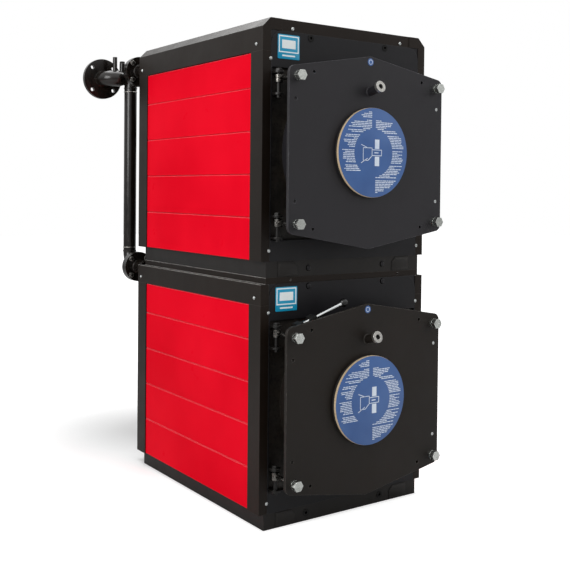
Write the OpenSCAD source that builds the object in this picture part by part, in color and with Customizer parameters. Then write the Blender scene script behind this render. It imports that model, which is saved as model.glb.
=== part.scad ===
// Stacked twin hot-water boiler: two like packaged boilers, one standing on the other.
// Millimetres, +Z up, front towards -Y. Each unit is drawn with y = 0 on its front sheet
// and z = 0 under its base frame, and unit() moves it into place.

/* [Casing] */
// width over the side posts
casing_w = 820; // [760:5:1000]
// depth from the front sheet's face to the rear sheet's outer face
casing_d = 1032; // [900:4:1300]
// thickness of the casing sheet
sheet = 3; // [2:0.5:5]
// width of the corner posts seen from the front
post_front = 37; // [25:1:60]
// width of the corner posts seen from the side
post_side = 78; // [50:1:120]
// depth of the recess that holds the coloured boards
board_recess = 14; // [12:1:25]
// thickness of one board
board_t = 10; // [6:1:11]
// height of one full board
board_h = 163.5; // [120:0.5:220]
// number of full boards on a side
board_n = 4; // [2:1:7]
// height of the cut board under the skirt
top_board_h = 134; // [60:1:200]
// joint between two boards
board_gap = 2; // [1:0.5:4]
// chamfer along the edges of a board
board_edge = 2.5; // [1:0.5:4]
// height of the skirt band over the boards
band_h = 80; // [50:1:140]

/* [Base and top] */
// height of the base frame
base_h = 62; // [40:1:120]
// how far the base frame stands in from the casing's sides
base_inset = 23.5; // [5:0.5:60]
// how far the base frame stands in from the rear
base_rear_inset = 24; // [5:1:80]
// width of the base rails
rail_w = 55; // [40:1:90]
// thickness of the base steel
rail_t = 5; // [3:0.5:8]
// holes in the frame's front: diameter
lug_hole_d = 24; // [12:1:26]
// holes in the frame's front: distance from the middle
lug_hole_x = 188; // [100:1:260]
// depth of the front sheet's top holes under the shoulder
top_hole_drop = 15; // [14:1:24]
// rounding of the raised front skin's top corners
skin_corner_r = 55; // [20:1:90]
// height of the frame on top of the lower unit
top_frame_h = 24; // [10:1:50]
// width of the bars in that frame
top_bar_w = 30; // [15:1:60]
// diameter of the screw holes in the top strip
screw_hole_d = 8; // [4:0.5:12]
// distance of those screw holes from the middle
screw_hole_x = 273; // [150:1:300]
// height of the upper unit's cover over its boards
cover_h = 125; // [100:1:200]
// width of the chamfer along the cover's edges
cover_chamfer = 35; // [15:1:60]
// width of the cover's end flanges
cover_flange = 86; // [60:1:150]

/* [Drum] */
// height of the drum's axis over the base frame
axis_above_base = 415; // [400:1:520]
// outer radius of the drum
drum_r = 352; // [330:1:370]
// wall of the drum
drum_wall = 8; // [5:0.5:14]
// length of the drum with its rear tube plate
drum_l = 960; // [700:5:980]
// distance from the front sheet's face back to the tube plate's face
plate_set = 12; // [8:1:20]
// thickness of the tube plates
plate_t = 14; // [8:1:25]
// how far the front plate reaches past the opening's edges
plate_lap = 10; // [5:1:20]
// radius of the furnace
furnace_r = 178; // [120:1:195]
// wall of the furnace
furnace_wall = 8; // [5:0.5:14]
// distance from the furnace's end to the rear tube plate
furnace_end = 118; // [60:1:300]
// clearance round the furnace where it passes through the front tube plate
furnace_gap = 0.3; // [0.2:0.1:0.8]
// number of smoke tubes
tube_n = 20; // [10:1:24]
// bore of a smoke tube
tube_bore = 50; // [30:1:56]
// wall of a smoke tube
tube_wall = 4; // [2:0.5:6]
// radius of the circle of smoke tubes
tube_circle_r = 240; // [230:1:255]
// how far the tubes stand out of the tube plate
tube_proud = 4; // [2:0.5:8]
// width of the flat land beside the rope seal
seal_land = 3; // [1:0.5:6]
// thickness of the saddles under the drum
saddle_t = 14; // [8:1:25]
// width of the saddles
saddle_w = 720; // [680:5:760]
// distance of the saddles from the drum's ends
saddle_set = 90; // [40:1:200]
// clearance between the drum and its saddles
saddle_gap = 0.3; // [0.2:0.1:0.8]

/* [Front opening and door] */
// how far the door's sides stand in from the casing's sides
door_margin = 28; // [10:1:60]
// height of the door's peak over the drum's axis
door_peak = 371; // [330:1:380]
// how much lower the door's corners are than its peak
door_fall = 67; // [20:1:100]
// radius of the door's corners
door_corner_r = 28; // [10:1:60]
// thickness of the door plate
door_t = 12; // [8:0.5:20]
// gap between the front sheet and the back of the door
door_stand = 124; // [90:1:180]
// how far the front opening's sides stand in from the door's sides
open_side = 15; // [5:1:40]
// height of the front opening over the drum's axis
open_high = 315; // [310:1:330]
// depth of the front opening under the drum's axis
open_low = 336; // [330:1:350]
// outer radius of the door's ring
ring_r = 322; // [312:1:330]
// thickness of the door's ring
ring_t = 12; // [6:0.5:14]
// gap between the door's ring and the front sheet
ring_gap = 5; // [5:0.5:12]
// clearance between the refractory and the ring
lining_gap = 0.5; // [0.2:0.1:0.9]
// radius of the burner opening
burner_r = 105; // [80:1:130]
// radius of the refractory's hub
hub_r = 188; // [170:1:205]
// width of the refractory's rim
rim_w = 40; // [30:1:50]
// depth of the gas chamber in the refractory
chamber = 60; // [30:1:80]
// joint between the refractory's rim and its slab
rim_joint = 0.3; // [0.2:0.1:0.8]
// width of the door's rope seal
seal_w = 22; // [12:1:28]
// gap between the rope seal and the tube plate
seal_gap = 0.5; // [0.3:0.1:0.9]
// diameter of the small holes in the door
door_hole_d = 13; // [6:0.5:16]
// side holes: distance outwards from the door bolts
side_hole_out = 7; // [0:1:15]
// side holes: distance from the door bolts towards the axis
side_hole_drop = 83; // [50:1:120]
// roof holes: distance inwards from the door bolts
roof_hole_in = 76; // [40:1:120]
// roof holes: distance from the door bolts away from the axis
roof_hole_up = 20; // [5:1:30]
// bevel along the refractory's rim
rim_bevel = 4; // [2:0.5:8]
// taper of the gas chamber's sides
chamber_taper = 14; // [6:1:24]
// distance from the front sheet's face to the refractory's hub
hub_set = 24; // [10:1:40]
// bevel of the burner's throat
throat_bevel = 14; // [6:1:24]

/* [Burner cover and sight tube] */
// radius of the disc that closes the burner opening
cover_r = 172; // [140:1:185]
// thickness of that disc
cover_t = 23; // [10:1:40]
// rounding along the disc's edge
cover_edge = 2; // [1:0.5:5]
// outer radius of the sight tube
sight_r = 17; // [12:0.5:22]
// bore radius of the sight tube
sight_bore_r = 10; // [6:0.5:11]
// length of the sight tube along its axis
sight_l = 52; // [30:1:80]
// upward tilt of the sight tube
sight_tilt = 15; // [10:1:40]
// height of the sight tube's foot over the drum's axis
sight_z = 234; // [210:1:250]
// radius of the ring nut on the sight tube
sight_ring_r = 22; // [18:0.5:28]
// thickness of the ring nut
sight_ring_t = 12; // [6:0.5:20]

/* [Door bolts and hinges] */
// distance of the door bolts from the door's sides
bolt_edge = 36; // [30:1:50]
// height of the door bolts over the drum's axis
bolt_rise = 270; // [240:1:275]
// radius of the bolt shanks
bolt_r = 9; // [6:0.5:11]
// clearance of a bolt in the door plate
bolt_gap = 1; // [0.5:0.25:2]
// size across flats of the bolt heads
head_af = 36; // [28:1:42]
// thickness of the bolt heads
head_h = 17; // [10:1:24]
// thickness of the collars against the door
collar_h = 11; // [6:1:16]
// bare shank between the collar and the head
neck_h = 5; // [3:1:10]
// size across flats of the nuts behind the door
nut_af = 32; // [24:1:40]
// thickness of the nuts behind the door
nut_h = 12; // [6:1:18]
// distance from the skin's face to the hinge pins
hinge_out = 14; // [14:1:22]
// radius of the hinge pins
pin_r = 9; // [6:0.5:11]
// how far the pins stand out of the bracket plates
pin_over = 10; // [6:1:20]
// thickness of the pins' hexagon heads
pin_head_h = 8; // [4:1:12]
// clearance of a hinge eye on its pin
pin_gap = 0.4; // [0.2:0.1:0.8]
// wall of a hinge eye
eye_wall = 8; // [6:0.5:10]
// height of a hinge eye
eye_h = 28; // [20:1:34]
// height of a bracket's top plate over the eye's middle
ear_up = 25; // [22:1:32]
// depth of a bracket's bottom plate under the eye's middle
ear_down = 57; // [40:1:60]
// thickness of the bracket plates
ear_t = 8; // [5:0.5:10]
// width of the bracket plates
ear_w = 40; // [34:1:40]
// how far the bolt seats stand out of the front sheet's face
seat_out = 29; // [20:1:60]
// gap between a bolt's end and its seat
seat_gap = 0.7; // [0.4:0.1:0.9]

/* [Pipework] */
// outer radius of the pipes
pipe_r = 30; // [21:0.5:32]
// wall of the pipes
pipe_wall = 3; // [2:0.5:5]
// distance of the pipes from the casing's sides
pipe_in = 38; // [36:1:45]
// height of the lower flow nozzle over the floor
flow_low_z = 914; // [900:1:920]
// height of the upper flow nozzle over the floor
flow_high_z = 1840; // [1830:1:1850]
// height of the return nozzles over their unit's base
return_z = 180; // [170:1:190]
// clearance of a nozzle in the casing
nozzle_gap = 0.3; // [0.2:0.1:1]
// wall of the collars round the nozzles
sleeve_wall = 4.5; // [3:0.5:8]
// length of the collars round the nozzles
sleeve_l = 5; // [3:0.5:12]
// distance from the rear sheet to the flange faces
nozzle_out = 93; // [70:1:130]
// diameter of the pipe flanges
flange_d = 140; // [120:1:150]
// bolt circle of the pipe flanges
flange_pcd = 110; // [95:1:116]
// bolt holes of the pipe flanges
flange_hole_d = 14; // [10:0.5:16]
// thickness of the flanges
flange_t = 18; // [10:1:24]
// centre radius of the pipe elbows
bend_r = 68; // [58:1:80]
// outer radius of the branch pipe
branch_r = 38; // [34:0.5:42]
// centre radius of the branch elbow
branch_bend_r = 57; // [54:1:70]
// height of the branch from the nozzle beside it
branch_drop = 28; // [20:1:34]
// distance of the branch flange from the pipe
branch_out = 118; // [115:1:150]
// length of the cone where the branch widens
branch_taper = 24; // [12:1:36]
// diameter of the branch flange
branch_flange_d = 190; // [170:1:200]
// bolt circle of the branch flange
branch_pcd = 150; // [140:1:160]
// bolt holes of the branch flange
branch_hole_d = 18; // [12:0.5:20]
// radius of the vent stub on the branch
vent_r = 10.5; // [6:0.5:13]
// height of the vent stub over the branch's axis
vent_h = 101; // [60:1:110]
// radius of the plugged socket on the branch
socket_r = 13; // [8:0.5:15]
// height of the plugged socket over the branch's axis
socket_h = 72; // [55:1:85]
// distance of the vent stub from the branch's elbow
vent_in = 21; // [12:1:24]
// gap between the plugged socket and the riser
socket_in = 14.5; // [13:0.5:20]
// height of a weld bead
weld_h = 5; // [3:0.5:8]
// how far a weld bead stands out of the pipe
weld_out = 2; // [1:0.5:4]

/* [Smokebox] */
// radius of the smokebox
smokebox_r = 332; // [300:1:336]
// length of the smokebox behind the drum
smokebox_l = 192; // [150:1:230]
// wall of the smokebox
smokebox_wall = 6; // [4:0.5:10]
// bevel step along the smokebox's rear edge
smokebox_step = 8; // [4:0.5:12]
// width of the trim ring round the smokebox
trim_w = 14; // [8:1:24]
// thickness of the trim ring
trim_t = 9; // [4:0.5:14]
// clearance between the trim ring and the smokebox
trim_gap = 1; // [0.5:0.25:3]
// outer radius of the flue spigot
flue_r = 100; // [80:1:125]
// wall of the flue spigot
flue_wall = 3; // [2:0.5:5]
// length of the flue spigot
flue_l = 90; // [60:1:100]
// height of the flue over the drum's axis
flue_up = 130; // [60:1:180]

/* [Cleaning rod] */
// radius of the cleaning rod
rod_r = 7.5; // [4:0.5:8]
// length of the cleaning rod
rod_l = 220; // [150:1:230]
// slope of the cleaning rod
rod_slope = 19; // [12:1:22]
// clearance of the rod in its clips
rod_gap = 0.3; // [0.1:0.1:0.8]
// distance of the rod's middle from the door's middle
rod_x = 212; // [190:1:230]
// height of the rod's middle over the drum's axis
rod_up = 338; // [325:1:350]
// gap between the rod and the door plate
rod_stand = 12; // [5:0.5:14]
// radius of the knob on the rod's end
rod_knob_r = 17; // [8:0.5:19]
// distance between the rod's clips
clip_space = 64; // [40:1:170]
// distance of the clips' middle from the rod's middle
clip_shift = 68; // [0:1:80]
// width of a clip along the rod
clip_w = 24; // [12:1:40]
// thickness of a clip beside the rod
clip_t = 5; // [3:0.5:12]

/* [Hidden] */
$fn = 96;
half_w = casing_w / 2;
inner_w = half_w - sheet;
skirt_z = base_h + board_n * board_h + top_board_h;
shoulder_z = skirt_z + band_h;
unit_h = shoulder_z + top_frame_h;
cover_z = skirt_z + cover_h;
axis_z = base_h + axis_above_base;
base_half = half_w - base_inset;
base_l = casing_d - base_rear_inset;
skin_half = half_w - post_front - 1;
door_half = half_w - door_margin;
open_half = door_half - open_side;
door_face = -(door_stand + door_t);
bolt_x = door_half - bolt_edge;
hinge_x = -bolt_x;
hinge_y = -sheet - hinge_out;
eye_r = pin_r + pin_gap + eye_wall;
head_y = door_face - collar_h - neck_h - head_h;
// door corner: centre of the rounding, and where it meets the sloping edge
slope = door_fall / door_half;
slope_n = sqrt(1 + slope * slope);
corner_x = door_half - door_corner_r;
corner_z = door_peak - slope * corner_x - door_corner_r * slope_n;
tan_x = corner_x + door_corner_r * slope / slope_n;
tan_z = corner_z + door_corner_r / slope_n;
lining_r = ring_r - ring_t - lining_gap;
seal_r = lining_r - rim_w / 2;
plate_y = plate_set;
drum_y = plate_y + plate_t;
drum_end = drum_y + drum_l;
shell_l = drum_l - plate_t;
mouth_y = plate_y - tube_proud;
furnace_l = drum_y + shell_l - furnace_end - mouth_y;
nozzle_x = half_w - pipe_in;
flange_y = casing_d + nozzle_out;
riser_y = flange_y + flange_t + bend_r;
branch_x = nozzle_x + branch_out;
branch_y = riser_y + branch_bend_r;
sight_tip_y = door_face - (sight_l + sight_ring_t) * cos(sight_tilt) - sight_ring_r * sin(sight_tilt);
front_reach = min(head_y, sight_tip_y);
rear_reach = max(branch_y + flange_t, drum_end + smokebox_l + flue_l);
front_y = -(front_reach + rear_reach) / 2;

black = [0.16, 0.155, 0.15];
red = [0.90, 0.05, 0.12];
zinc = [0.78, 0.80, 0.78];
cream = [0.87, 0.79, 0.66];
iron = [0.24, 0.22, 0.21];

// placing helpers
module unit(n) translate([0, front_y, n * unit_h]) children();
module pair() {
    children();
    mirror([1, 0, 0]) children();
}
// a profile drawn in X and Z, drawn out along +Y from y0
module along_y(y0, l) translate([0, y0 + l, 0]) rotate([90, 0, 0]) linear_extrude(l) children();
// a round bar along +Y
module bar_y(x, y0, z, r, l) translate([x, y0, z]) rotate([-90, 0, 0]) cylinder(r = r, h = l);
// a hexagon along +Y, measured across its flats
module hex_y(x, y0, z, af, l) translate([x, y0, z]) rotate([-90, 0, 0]) cylinder(d = af / cos(30), h = l, $fn = 6);
// a ring turned about the drum's axis, from points of radius and distance along +Y
module turned(points) translate([0, 0, axis_z]) rotate([-90, 0, 0]) rotate_extrude() polygon(points);

// base frame: two channel rails, closed in front, and a channel across each end
module base_frame() {
    rail = [[0, 0], [rail_w, 0], [rail_w, rail_t], [rail_t, rail_t],
            [rail_t, base_h - rail_t], [rail_w, base_h - rail_t], [rail_w, base_h], [0, base_h]];
    pair() {
        along_y(0, base_l) translate([-base_half, 0]) polygon(rail);
        translate([-base_half, 0, 0]) cube([rail_w, rail_t, base_h]);
    }
    cross_bar();
    translate([0, base_l, 0]) mirror([0, 1, 0]) cross_bar();
}

module cross_bar() {
    l = 2 * (base_half - rail_w);
    difference() {
        translate([-l / 2, 0, 0]) cube([l, rail_w, base_h]);
        translate([-l / 2 - 1, rail_t, rail_t]) cube([l + 2, rail_w, base_h - 2 * rail_t]);
        for (x = [-lug_hole_x, lug_hole_x]) bar_y(x, -1, base_h / 2, lug_hole_d / 2, rail_t + 2);
    }
}

// front sheet with the boiler's opening, and the raised skin with round top corners
module front_sheet() {
    r = skin_corner_r;
    difference() {
        union() {
            translate([-inner_w, 0, base_h]) cube([2 * inner_w, sheet, shoulder_z - base_h]);
            along_y(-sheet, sheet) union() {
                translate([-skin_half, base_h]) square([2 * skin_half, shoulder_z - base_h - r]);
                translate([-skin_half + r, base_h]) square([2 * (skin_half - r), shoulder_z - base_h]);
                for (x = [-1, 1]) translate([x * (skin_half - r), shoulder_z - r]) circle(r);
            }
        }
        translate([-open_half, -sheet - 1, axis_z - open_low])
            cube([2 * open_half, 2 * sheet + 2, open_low + open_high]);
        for (x = [-lug_hole_x, lug_hole_x])
            bar_y(x, -sheet - 1, shoulder_z - top_hole_drop, lug_hole_d / 2, 2 * sheet + 2);
    }
}

// one side: a folded sheet with a post at each end and a recess for the boards
module side_sheet() {
    deep = half_w - board_recess;
    outer = [[half_w - post_front, -sheet], [half_w, -sheet], [half_w, post_side], [deep, post_side],
             [deep, casing_d - post_side], [half_w, casing_d - post_side],
             [half_w, casing_d + sheet], [half_w - post_front, casing_d + sheet]];
    inner = [[half_w - post_front, casing_d], [inner_w, casing_d],
             [inner_w, casing_d - post_side + sheet], [deep - sheet, casing_d - post_side + sheet],
             [deep - sheet, post_side - sheet], [inner_w, post_side - sheet],
             [inner_w, 0], [half_w - post_front, 0]];
    translate([0, 0, base_h]) linear_extrude(skirt_z - base_h) polygon(concat(outer, inner));
}

// the coloured boards of one side, with chamfered edges
module side_boards() {
    x0 = half_w - board_recess;
    x1 = x0 + board_t;
    e = board_edge;
    y0 = post_side + board_gap / 2;
    for (i = [0 : board_n]) {
        z0 = base_h + i * board_h + board_gap / 2;
        z1 = (i == board_n ? skirt_z : z0 + board_h) - board_gap / 2;
        along_y(y0, casing_d - 2 * y0)
            polygon([[x0, z0], [x1 - e, z0], [x1, z0 + e], [x1, z1 - e], [x1 - e, z1], [x0, z1]]);
    }
}

// both sides, with the return nozzle's way through the right one
module side_pair() difference() {
    pair() side_sheet();
    nozzle_way(nozzle_x, return_z);
}

module nozzle_way(x, z) bar_y(x, casing_d - sheet - 1, z, pipe_r + nozzle_gap, 2 * sheet + 2);

// rear sheet with a hole for the drum's end, and the trim ring round it
module rear_sheet(nozzle_z) difference() {
    union() {
        translate([-inner_w, casing_d - sheet, base_h]) cube([2 * inner_w, sheet, shoulder_z - base_h]);
        bar_y(0, casing_d - sheet, axis_z, drum_r + trim_gap + trim_w, sheet + trim_t);
    }
    bar_y(0, casing_d - sheet - 1, axis_z, drum_r + trim_gap, sheet + trim_t + 2);
    nozzle_way(-nozzle_x, nozzle_z);
    nozzle_way(nozzle_x, return_z);
}

// lower unit's top: the skirt band, a flat shoulder, and the frame the upper unit stands on
module flat_top() {
    difference() {
        pair() {
            translate([inner_w, -sheet, skirt_z]) cube([sheet, casing_d + 2 * sheet, band_h]);
            for (y = [-sheet, casing_d])
                translate([half_w - post_front, y, skirt_z]) cube([post_front, sheet, band_h - 1]);
        }
        nozzle_way(-nozzle_x, flow_low_z);
    }
    difference() {
        translate([-inner_w, sheet, shoulder_z - sheet]) cube([2 * inner_w, casing_d - 2 * sheet, sheet]);
        translate([0, 0, shoulder_z - sheet]) top_frame_void();
    }
    difference() {
        translate([-base_half, 0, shoulder_z]) cube([2 * base_half, base_l, top_frame_h]);
        translate([0, 0, shoulder_z]) top_frame_void();
        for (x = [-screw_hole_x, screw_hole_x])
            bar_y(x, -1, shoulder_z + top_frame_h / 2, screw_hole_d / 2, top_bar_w + 2);
    }
}

module top_frame_void() translate([-base_half + top_bar_w, top_bar_w, -1])
    cube([2 * (base_half - top_bar_w), base_l - 2 * top_bar_w, top_frame_h + 2]);

// upper unit's cover: one folded sheet with chamfered edges and a flange at each end
module chamfered_cover() {
    c = cover_chamfer;
    ci = c - sheet * (2 - sqrt(2));
    xi = inner_w;
    zi = cover_z - sheet;
    along_y(0, casing_d) polygon([
        [-half_w, skirt_z], [-half_w, cover_z - c], [-half_w + c, cover_z],
        [half_w - c, cover_z], [half_w, cover_z - c], [half_w, skirt_z],
        [xi, skirt_z], [xi, zi - ci], [xi - ci, zi], [-xi + ci, zi], [-xi, zi - ci], [-xi, skirt_z]]);
    fx = half_w - cover_flange;
    px = half_w - post_front;
    difference() {
        for (y = [-sheet, casing_d]) pair() along_y(y, sheet) polygon([
            [px, skirt_z], [half_w, skirt_z], [half_w, cover_z - c], [half_w - c, cover_z],
            [fx, cover_z], [fx, shoulder_z + 1], [px, shoulder_z + 1]]);
        nozzle_way(-nozzle_x, flow_high_z - unit_h);
    }
    for (y = [0, casing_d - sheet]) difference() {
        translate([-xi + c, y, shoulder_z]) cube([2 * (xi - c), sheet, zi - shoulder_z]);
        for (x = [-screw_hole_x, screw_hole_x])
            bar_y(x, y - 1, shoulder_z + top_frame_h / 2, screw_hole_d / 2, sheet + 2);
    }
}

// drum: a shell round the furnace, which passes through the front tube plate, on two saddles
module drum() {
    difference() {
        bar_y(0, drum_y, axis_z, drum_r, shell_l);
        bar_y(0, drum_y - 1, axis_z, drum_r - drum_wall, shell_l + 2);
    }
    difference() {
        bar_y(0, mouth_y, axis_z, furnace_r + furnace_wall, furnace_l);
        bar_y(0, mouth_y - 1, axis_z, furnace_r, furnace_l + 1 - furnace_wall);
    }
    for (y = [drum_y + saddle_set, drum_end - saddle_set - saddle_t]) difference() {
        translate([-saddle_w / 2, y, base_h]) cube([saddle_w, saddle_t, axis_above_base]);
        bar_y(0, y - 1, axis_z, drum_r + saddle_gap, saddle_t + 2);
    }
}

module tube_ring(y, r, l) for (i = [0 : tube_n - 1]) {
    a = (i + 0.5) * 360 / tube_n;
    bar_y(tube_circle_r * sin(a), y, axis_z + tube_circle_r * cos(a), r, l);
}

// smoke tubes between the tube plates
module smoke_tubes() difference() {
    tube_ring(drum_y, tube_bore / 2 + tube_wall, shell_l);
    tube_ring(drum_y - 1, tube_bore / 2, shell_l + 2);
}

// front tube plate with the tube ends standing out of it and the furnace's hole, and the rear plate
module tube_plates() {
    difference() {
        union() {
            translate([-open_half - plate_lap, plate_y, axis_z - open_low - plate_lap])
                cube([2 * (open_half + plate_lap), plate_t, open_low + open_high + 2 * plate_lap]);
            bar_y(0, plate_y, axis_z, drum_r, plate_t);
            difference() {
                tube_ring(mouth_y, tube_bore / 2 + tube_wall, tube_proud + plate_t);
                seal_ground();
            }
        }
        tube_ring(mouth_y - 1, tube_bore / 2, tube_proud + plate_t + 2);
        bar_y(0, mouth_y - 1, axis_z, furnace_r + furnace_wall + furnace_gap, tube_proud + plate_t + 2);
    }
    difference() {
        bar_y(0, drum_end - plate_t, axis_z, drum_r, plate_t);
        tube_ring(drum_end - plate_t - 1, tube_bore / 2, plate_t + 2);
    }
}

// where the tube ends are ground flush for the rope seal
module seal_ground() {
    w = seal_w / 2 + seal_land;
    y0 = mouth_y - 1;
    turned([[seal_r - w, y0], [seal_r + w, y0], [seal_r + w, plate_y], [seal_r - w, plate_y]]);
}

// hinge brackets with their pins on the left, and the bolt seats on the right
module hinge_set() for (s = [-1, 1]) {
    z = axis_z + s * bolt_rise;
    for (e = [ear_up, -ear_down]) translate([hinge_x, 0, z + e - ear_t / 2]) {
        translate([-ear_w / 2, hinge_y, 0]) cube([ear_w, plate_y - hinge_y, ear_t]);
        translate([0, hinge_y, 0]) cylinder(r = ear_w / 2, h = ear_t);
    }
    translate([hinge_x, hinge_y, z - ear_down - ear_t / 2 - pin_over])
        cylinder(r = pin_r, h = ear_up + ear_down + ear_t + 2 * pin_over);
    translate([hinge_x, hinge_y, z + ear_up + ear_t / 2]) cylinder(d = 3 * pin_r, h = pin_head_h, $fn = 6);
    translate([bolt_x - ear_w / 2, -seat_out, z - ear_w / 2]) cube([ear_w, plate_y + seat_out, ear_w]);
}

// door plate with roofed edges and round corners; the steel ring stands behind it
module door_plate() {
    difference() {
        union() {
            along_y(door_face, door_t) translate([0, axis_z]) polygon([
                [0, door_peak], [tan_x, tan_z], [door_half, corner_z], [door_half, -corner_z],
                [tan_x, -tan_z], [0, -door_peak], [-tan_x, -tan_z], [-door_half, -corner_z],
                [-door_half, corner_z], [-tan_x, tan_z]]);
            for (x = [-1, 1], z = [-1, 1])
                bar_y(x * corner_x, door_face, axis_z + z * corner_z, door_corner_r, door_t);
        }
        bar_y(0, door_face - 1, axis_z, burner_r, door_t + 2);
        for (x = [-1, 1], z = [-1, 1]) {
            bar_y(x * bolt_x, door_face - 1, axis_z + z * bolt_rise, bolt_r + bolt_gap, door_t + 2);
            door_hole(x * (bolt_x + side_hole_out), z * (bolt_rise - side_hole_drop));
            door_hole(x * (bolt_x - roof_hole_in), z * (bolt_rise + roof_hole_up));
        }
    }
}

module door_hole(x, z) bar_y(x, door_face - 1, axis_z + z, door_hole_d / 2, door_t + 2);

module ring() turned([[ring_r - ring_t, -door_stand], [ring_r, -door_stand],
                      [ring_r, -sheet - ring_gap], [ring_r - ring_t, -sheet - ring_gap]]);

// refractory lining: a slab with a hub round the burner opening, and a rim cast on it round the gas chamber
module lining() {
    r = lining_r;
    bevel = throat_bevel;
    turned([[burner_r, -door_stand], [r, -door_stand], [r, -chamber], [hub_r + chamber_taper, -chamber],
            [hub_r, -hub_set], [burner_r + bevel, -hub_set], [burner_r, -hub_set - bevel]]);
    turned([[r, -chamber + rim_joint], [r, -sheet - ring_gap], [r - rim_bevel, 0], [r - rim_w, 0],
            [r - rim_w - chamber_taper, -chamber + rim_joint]]);
}

module rope_seal() {
    w = seal_w / 2;
    y1 = plate_y - seal_gap;
    e = w / 3;
    turned([[seal_r - w, 0], [seal_r + w, 0], [seal_r + w, y1 - e], [seal_r + w - e, y1],
            [seal_r - w + e, y1], [seal_r - w, y1 - e]]);
}

module cover_disc() {
    e = cover_edge;
    f = door_face;
    turned([[0, f - cover_t], [cover_r - e, f - cover_t], [cover_r, f - cover_t + e],
            [cover_r, f - e], [cover_r - e, f], [0, f]]);
}

// places its children on the sight tube's foot, with +Z along the tube
module on_sight() translate([0, door_face, axis_z + sight_z]) rotate([90 - sight_tilt, 0, 0]) children();

module sight_pipe() intersection() {
    on_sight() difference() {
        translate([0, 0, -2 * sight_r]) cylinder(r = sight_r, h = sight_l + 2 * sight_r);
        translate([0, 0, sight_bore_r]) cylinder(r = sight_bore_r, h = sight_l);
    }
    reach = sight_l + 2 * sight_r;
    translate([-reach, door_face - reach, axis_z + sight_z - reach]) cube([2 * reach, reach, 2 * reach]);
}

module sight_nut() on_sight() translate([0, 0, sight_l]) difference() {
    cylinder(r = sight_ring_r, h = sight_ring_t);
    translate([0, 0, -1]) cylinder(r = sight_bore_r, h = sight_ring_t + 2);
}

// two eye bolts on the hinge side and two plain bolts on the other, with collars and heads
module bolt_set() for (z = [axis_z - bolt_rise, axis_z + bolt_rise]) {
    for (x = [-bolt_x, bolt_x]) {
        end = x < 0 ? hinge_y - eye_r + eye_wall / 2 : -seat_out - seat_gap;
        bar_y(x, head_y + head_h / 2, z, bolt_r, end - head_y - head_h / 2);
        hex_y(x, head_y, z, head_af, head_h);
        bar_y(x, door_face - collar_h, z, head_af / 2, collar_h);
        hex_y(x, -door_stand, z, nut_af, nut_h);
    }
    translate([hinge_x, hinge_y, z - eye_h / 2]) difference() {
        cylinder(r = eye_r, h = eye_h);
        translate([0, 0, -1]) cylinder(r = pin_r + pin_gap, h = eye_h + 2);
    }
}

// clips on the back of the lower door's plate, and the rod that lies in them
module on_rod() translate([-rod_x, -door_stand + rod_r + rod_stand, axis_z + rod_up])
    rotate([0, -rod_slope, 0]) children();

module holder() intersection() {
    deep = 2 * (rod_r + rod_stand);
    high = 2 * (rod_r + clip_t);
    on_rod() difference() {
        for (x = [-clip_space, clip_space] / 2)
            translate([x - clip_shift - clip_w / 2, -deep, -high / 2]) cube([clip_w, 2 * deep, high]);
        translate([-rod_l, 0, 0]) rotate([0, 90, 0]) cylinder(r = rod_r + rod_gap, h = 2 * rod_l);
    }
    translate([-rod_x - rod_l, -door_stand, axis_z + rod_up - rod_l]) cube([2 * rod_l, deep, 2 * rod_l]);
}

module rod() on_rod() rotate([0, 90, 0]) {
    translate([0, 0, -rod_l / 2]) cylinder(r = rod_r, h = rod_l);
    translate([0, 0, rod_l / 2 + rod_knob_r - rod_r / 2]) sphere(r = rod_knob_r);
}

// nozzles through the rear sheet, each with a collar and a drilled flange
module nozzle(x, z) difference() {
    union() {
        bar_y(x, casing_d - sheet, z, pipe_r, nozzle_out + sheet - 1);
        bar_y(x, casing_d + sheet, z, pipe_r + sleeve_wall, sleeve_l);
        bar_y(x, flange_y - flange_t, z, flange_d / 2, flange_t);
    }
    bar_y(x, casing_d - sheet - 1, z, pipe_r - pipe_wall, nozzle_out + sheet + 2);
    flange_holes(x, flange_y - flange_t - 1, z, flange_pcd, flange_hole_d, flange_t + 2);
}

module flange_holes(x, y, z, pcd, d, l) for (a = [45, 135, 225, 315])
    bar_y(x + pcd / 2 * cos(a), y, z + pcd / 2 * sin(a), d / 2, l);

module nozzle_set(flow_z) {
    nozzle(-nozzle_x, flow_z);
    nozzle(nozzle_x, return_z);
}

// a hollow elbow from +Y at the flange to up (s = 1) or down (s = -1) at the riser
module bend(s) translate([0, flange_y + flange_t, s * bend_r]) rotate([0, 0, 90]) rotate([90, 0, 0])
    rotate([0, 0, s > 0 ? 270 : 0]) rotate_extrude(angle = 90) translate([bend_r, 0]) difference() {
        circle(pipe_r);
        circle(pipe_r - pipe_wall);
    }

// a tee at the riser: in from the flange, down or up to the riser, and out to -X
module tee(s, t) {
    bar_y(0, flange_y + flange_t - 1, 0, pipe_r - t, bend_r + 1);
    translate([0, riser_y, 0]) sphere(r = pipe_r - t);
    translate([0, riser_y, s > 0 ? 0 : -bend_r]) cylinder(r = pipe_r - t, h = bend_r);
    out = branch_out - branch_bend_r;
    translate([0, riser_y, s * branch_drop]) rotate([0, -90, 0]) {
        cylinder(r = pipe_r - t - 0.5, h = out - branch_taper);
        translate([0, 0, out - branch_taper]) cylinder(r1 = pipe_r - t - 0.5, r2 = branch_r - t, h = branch_taper);
    }
}

// the branch's elbow, from -X at the tee to +Y at the flange
module branch_bend(s, t) translate([branch_bend_r - branch_out, branch_y, s * branch_drop]) rotate([0, 0, 180])
    rotate_extrude(angle = 90) translate([branch_bend_r, 0]) circle(branch_r - t);

module weld(s) translate([0, riser_y, s * bend_r - (s > 0 ? 0 : weld_h)]) cylinder(r = pipe_r + weld_out, h = weld_h);

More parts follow.
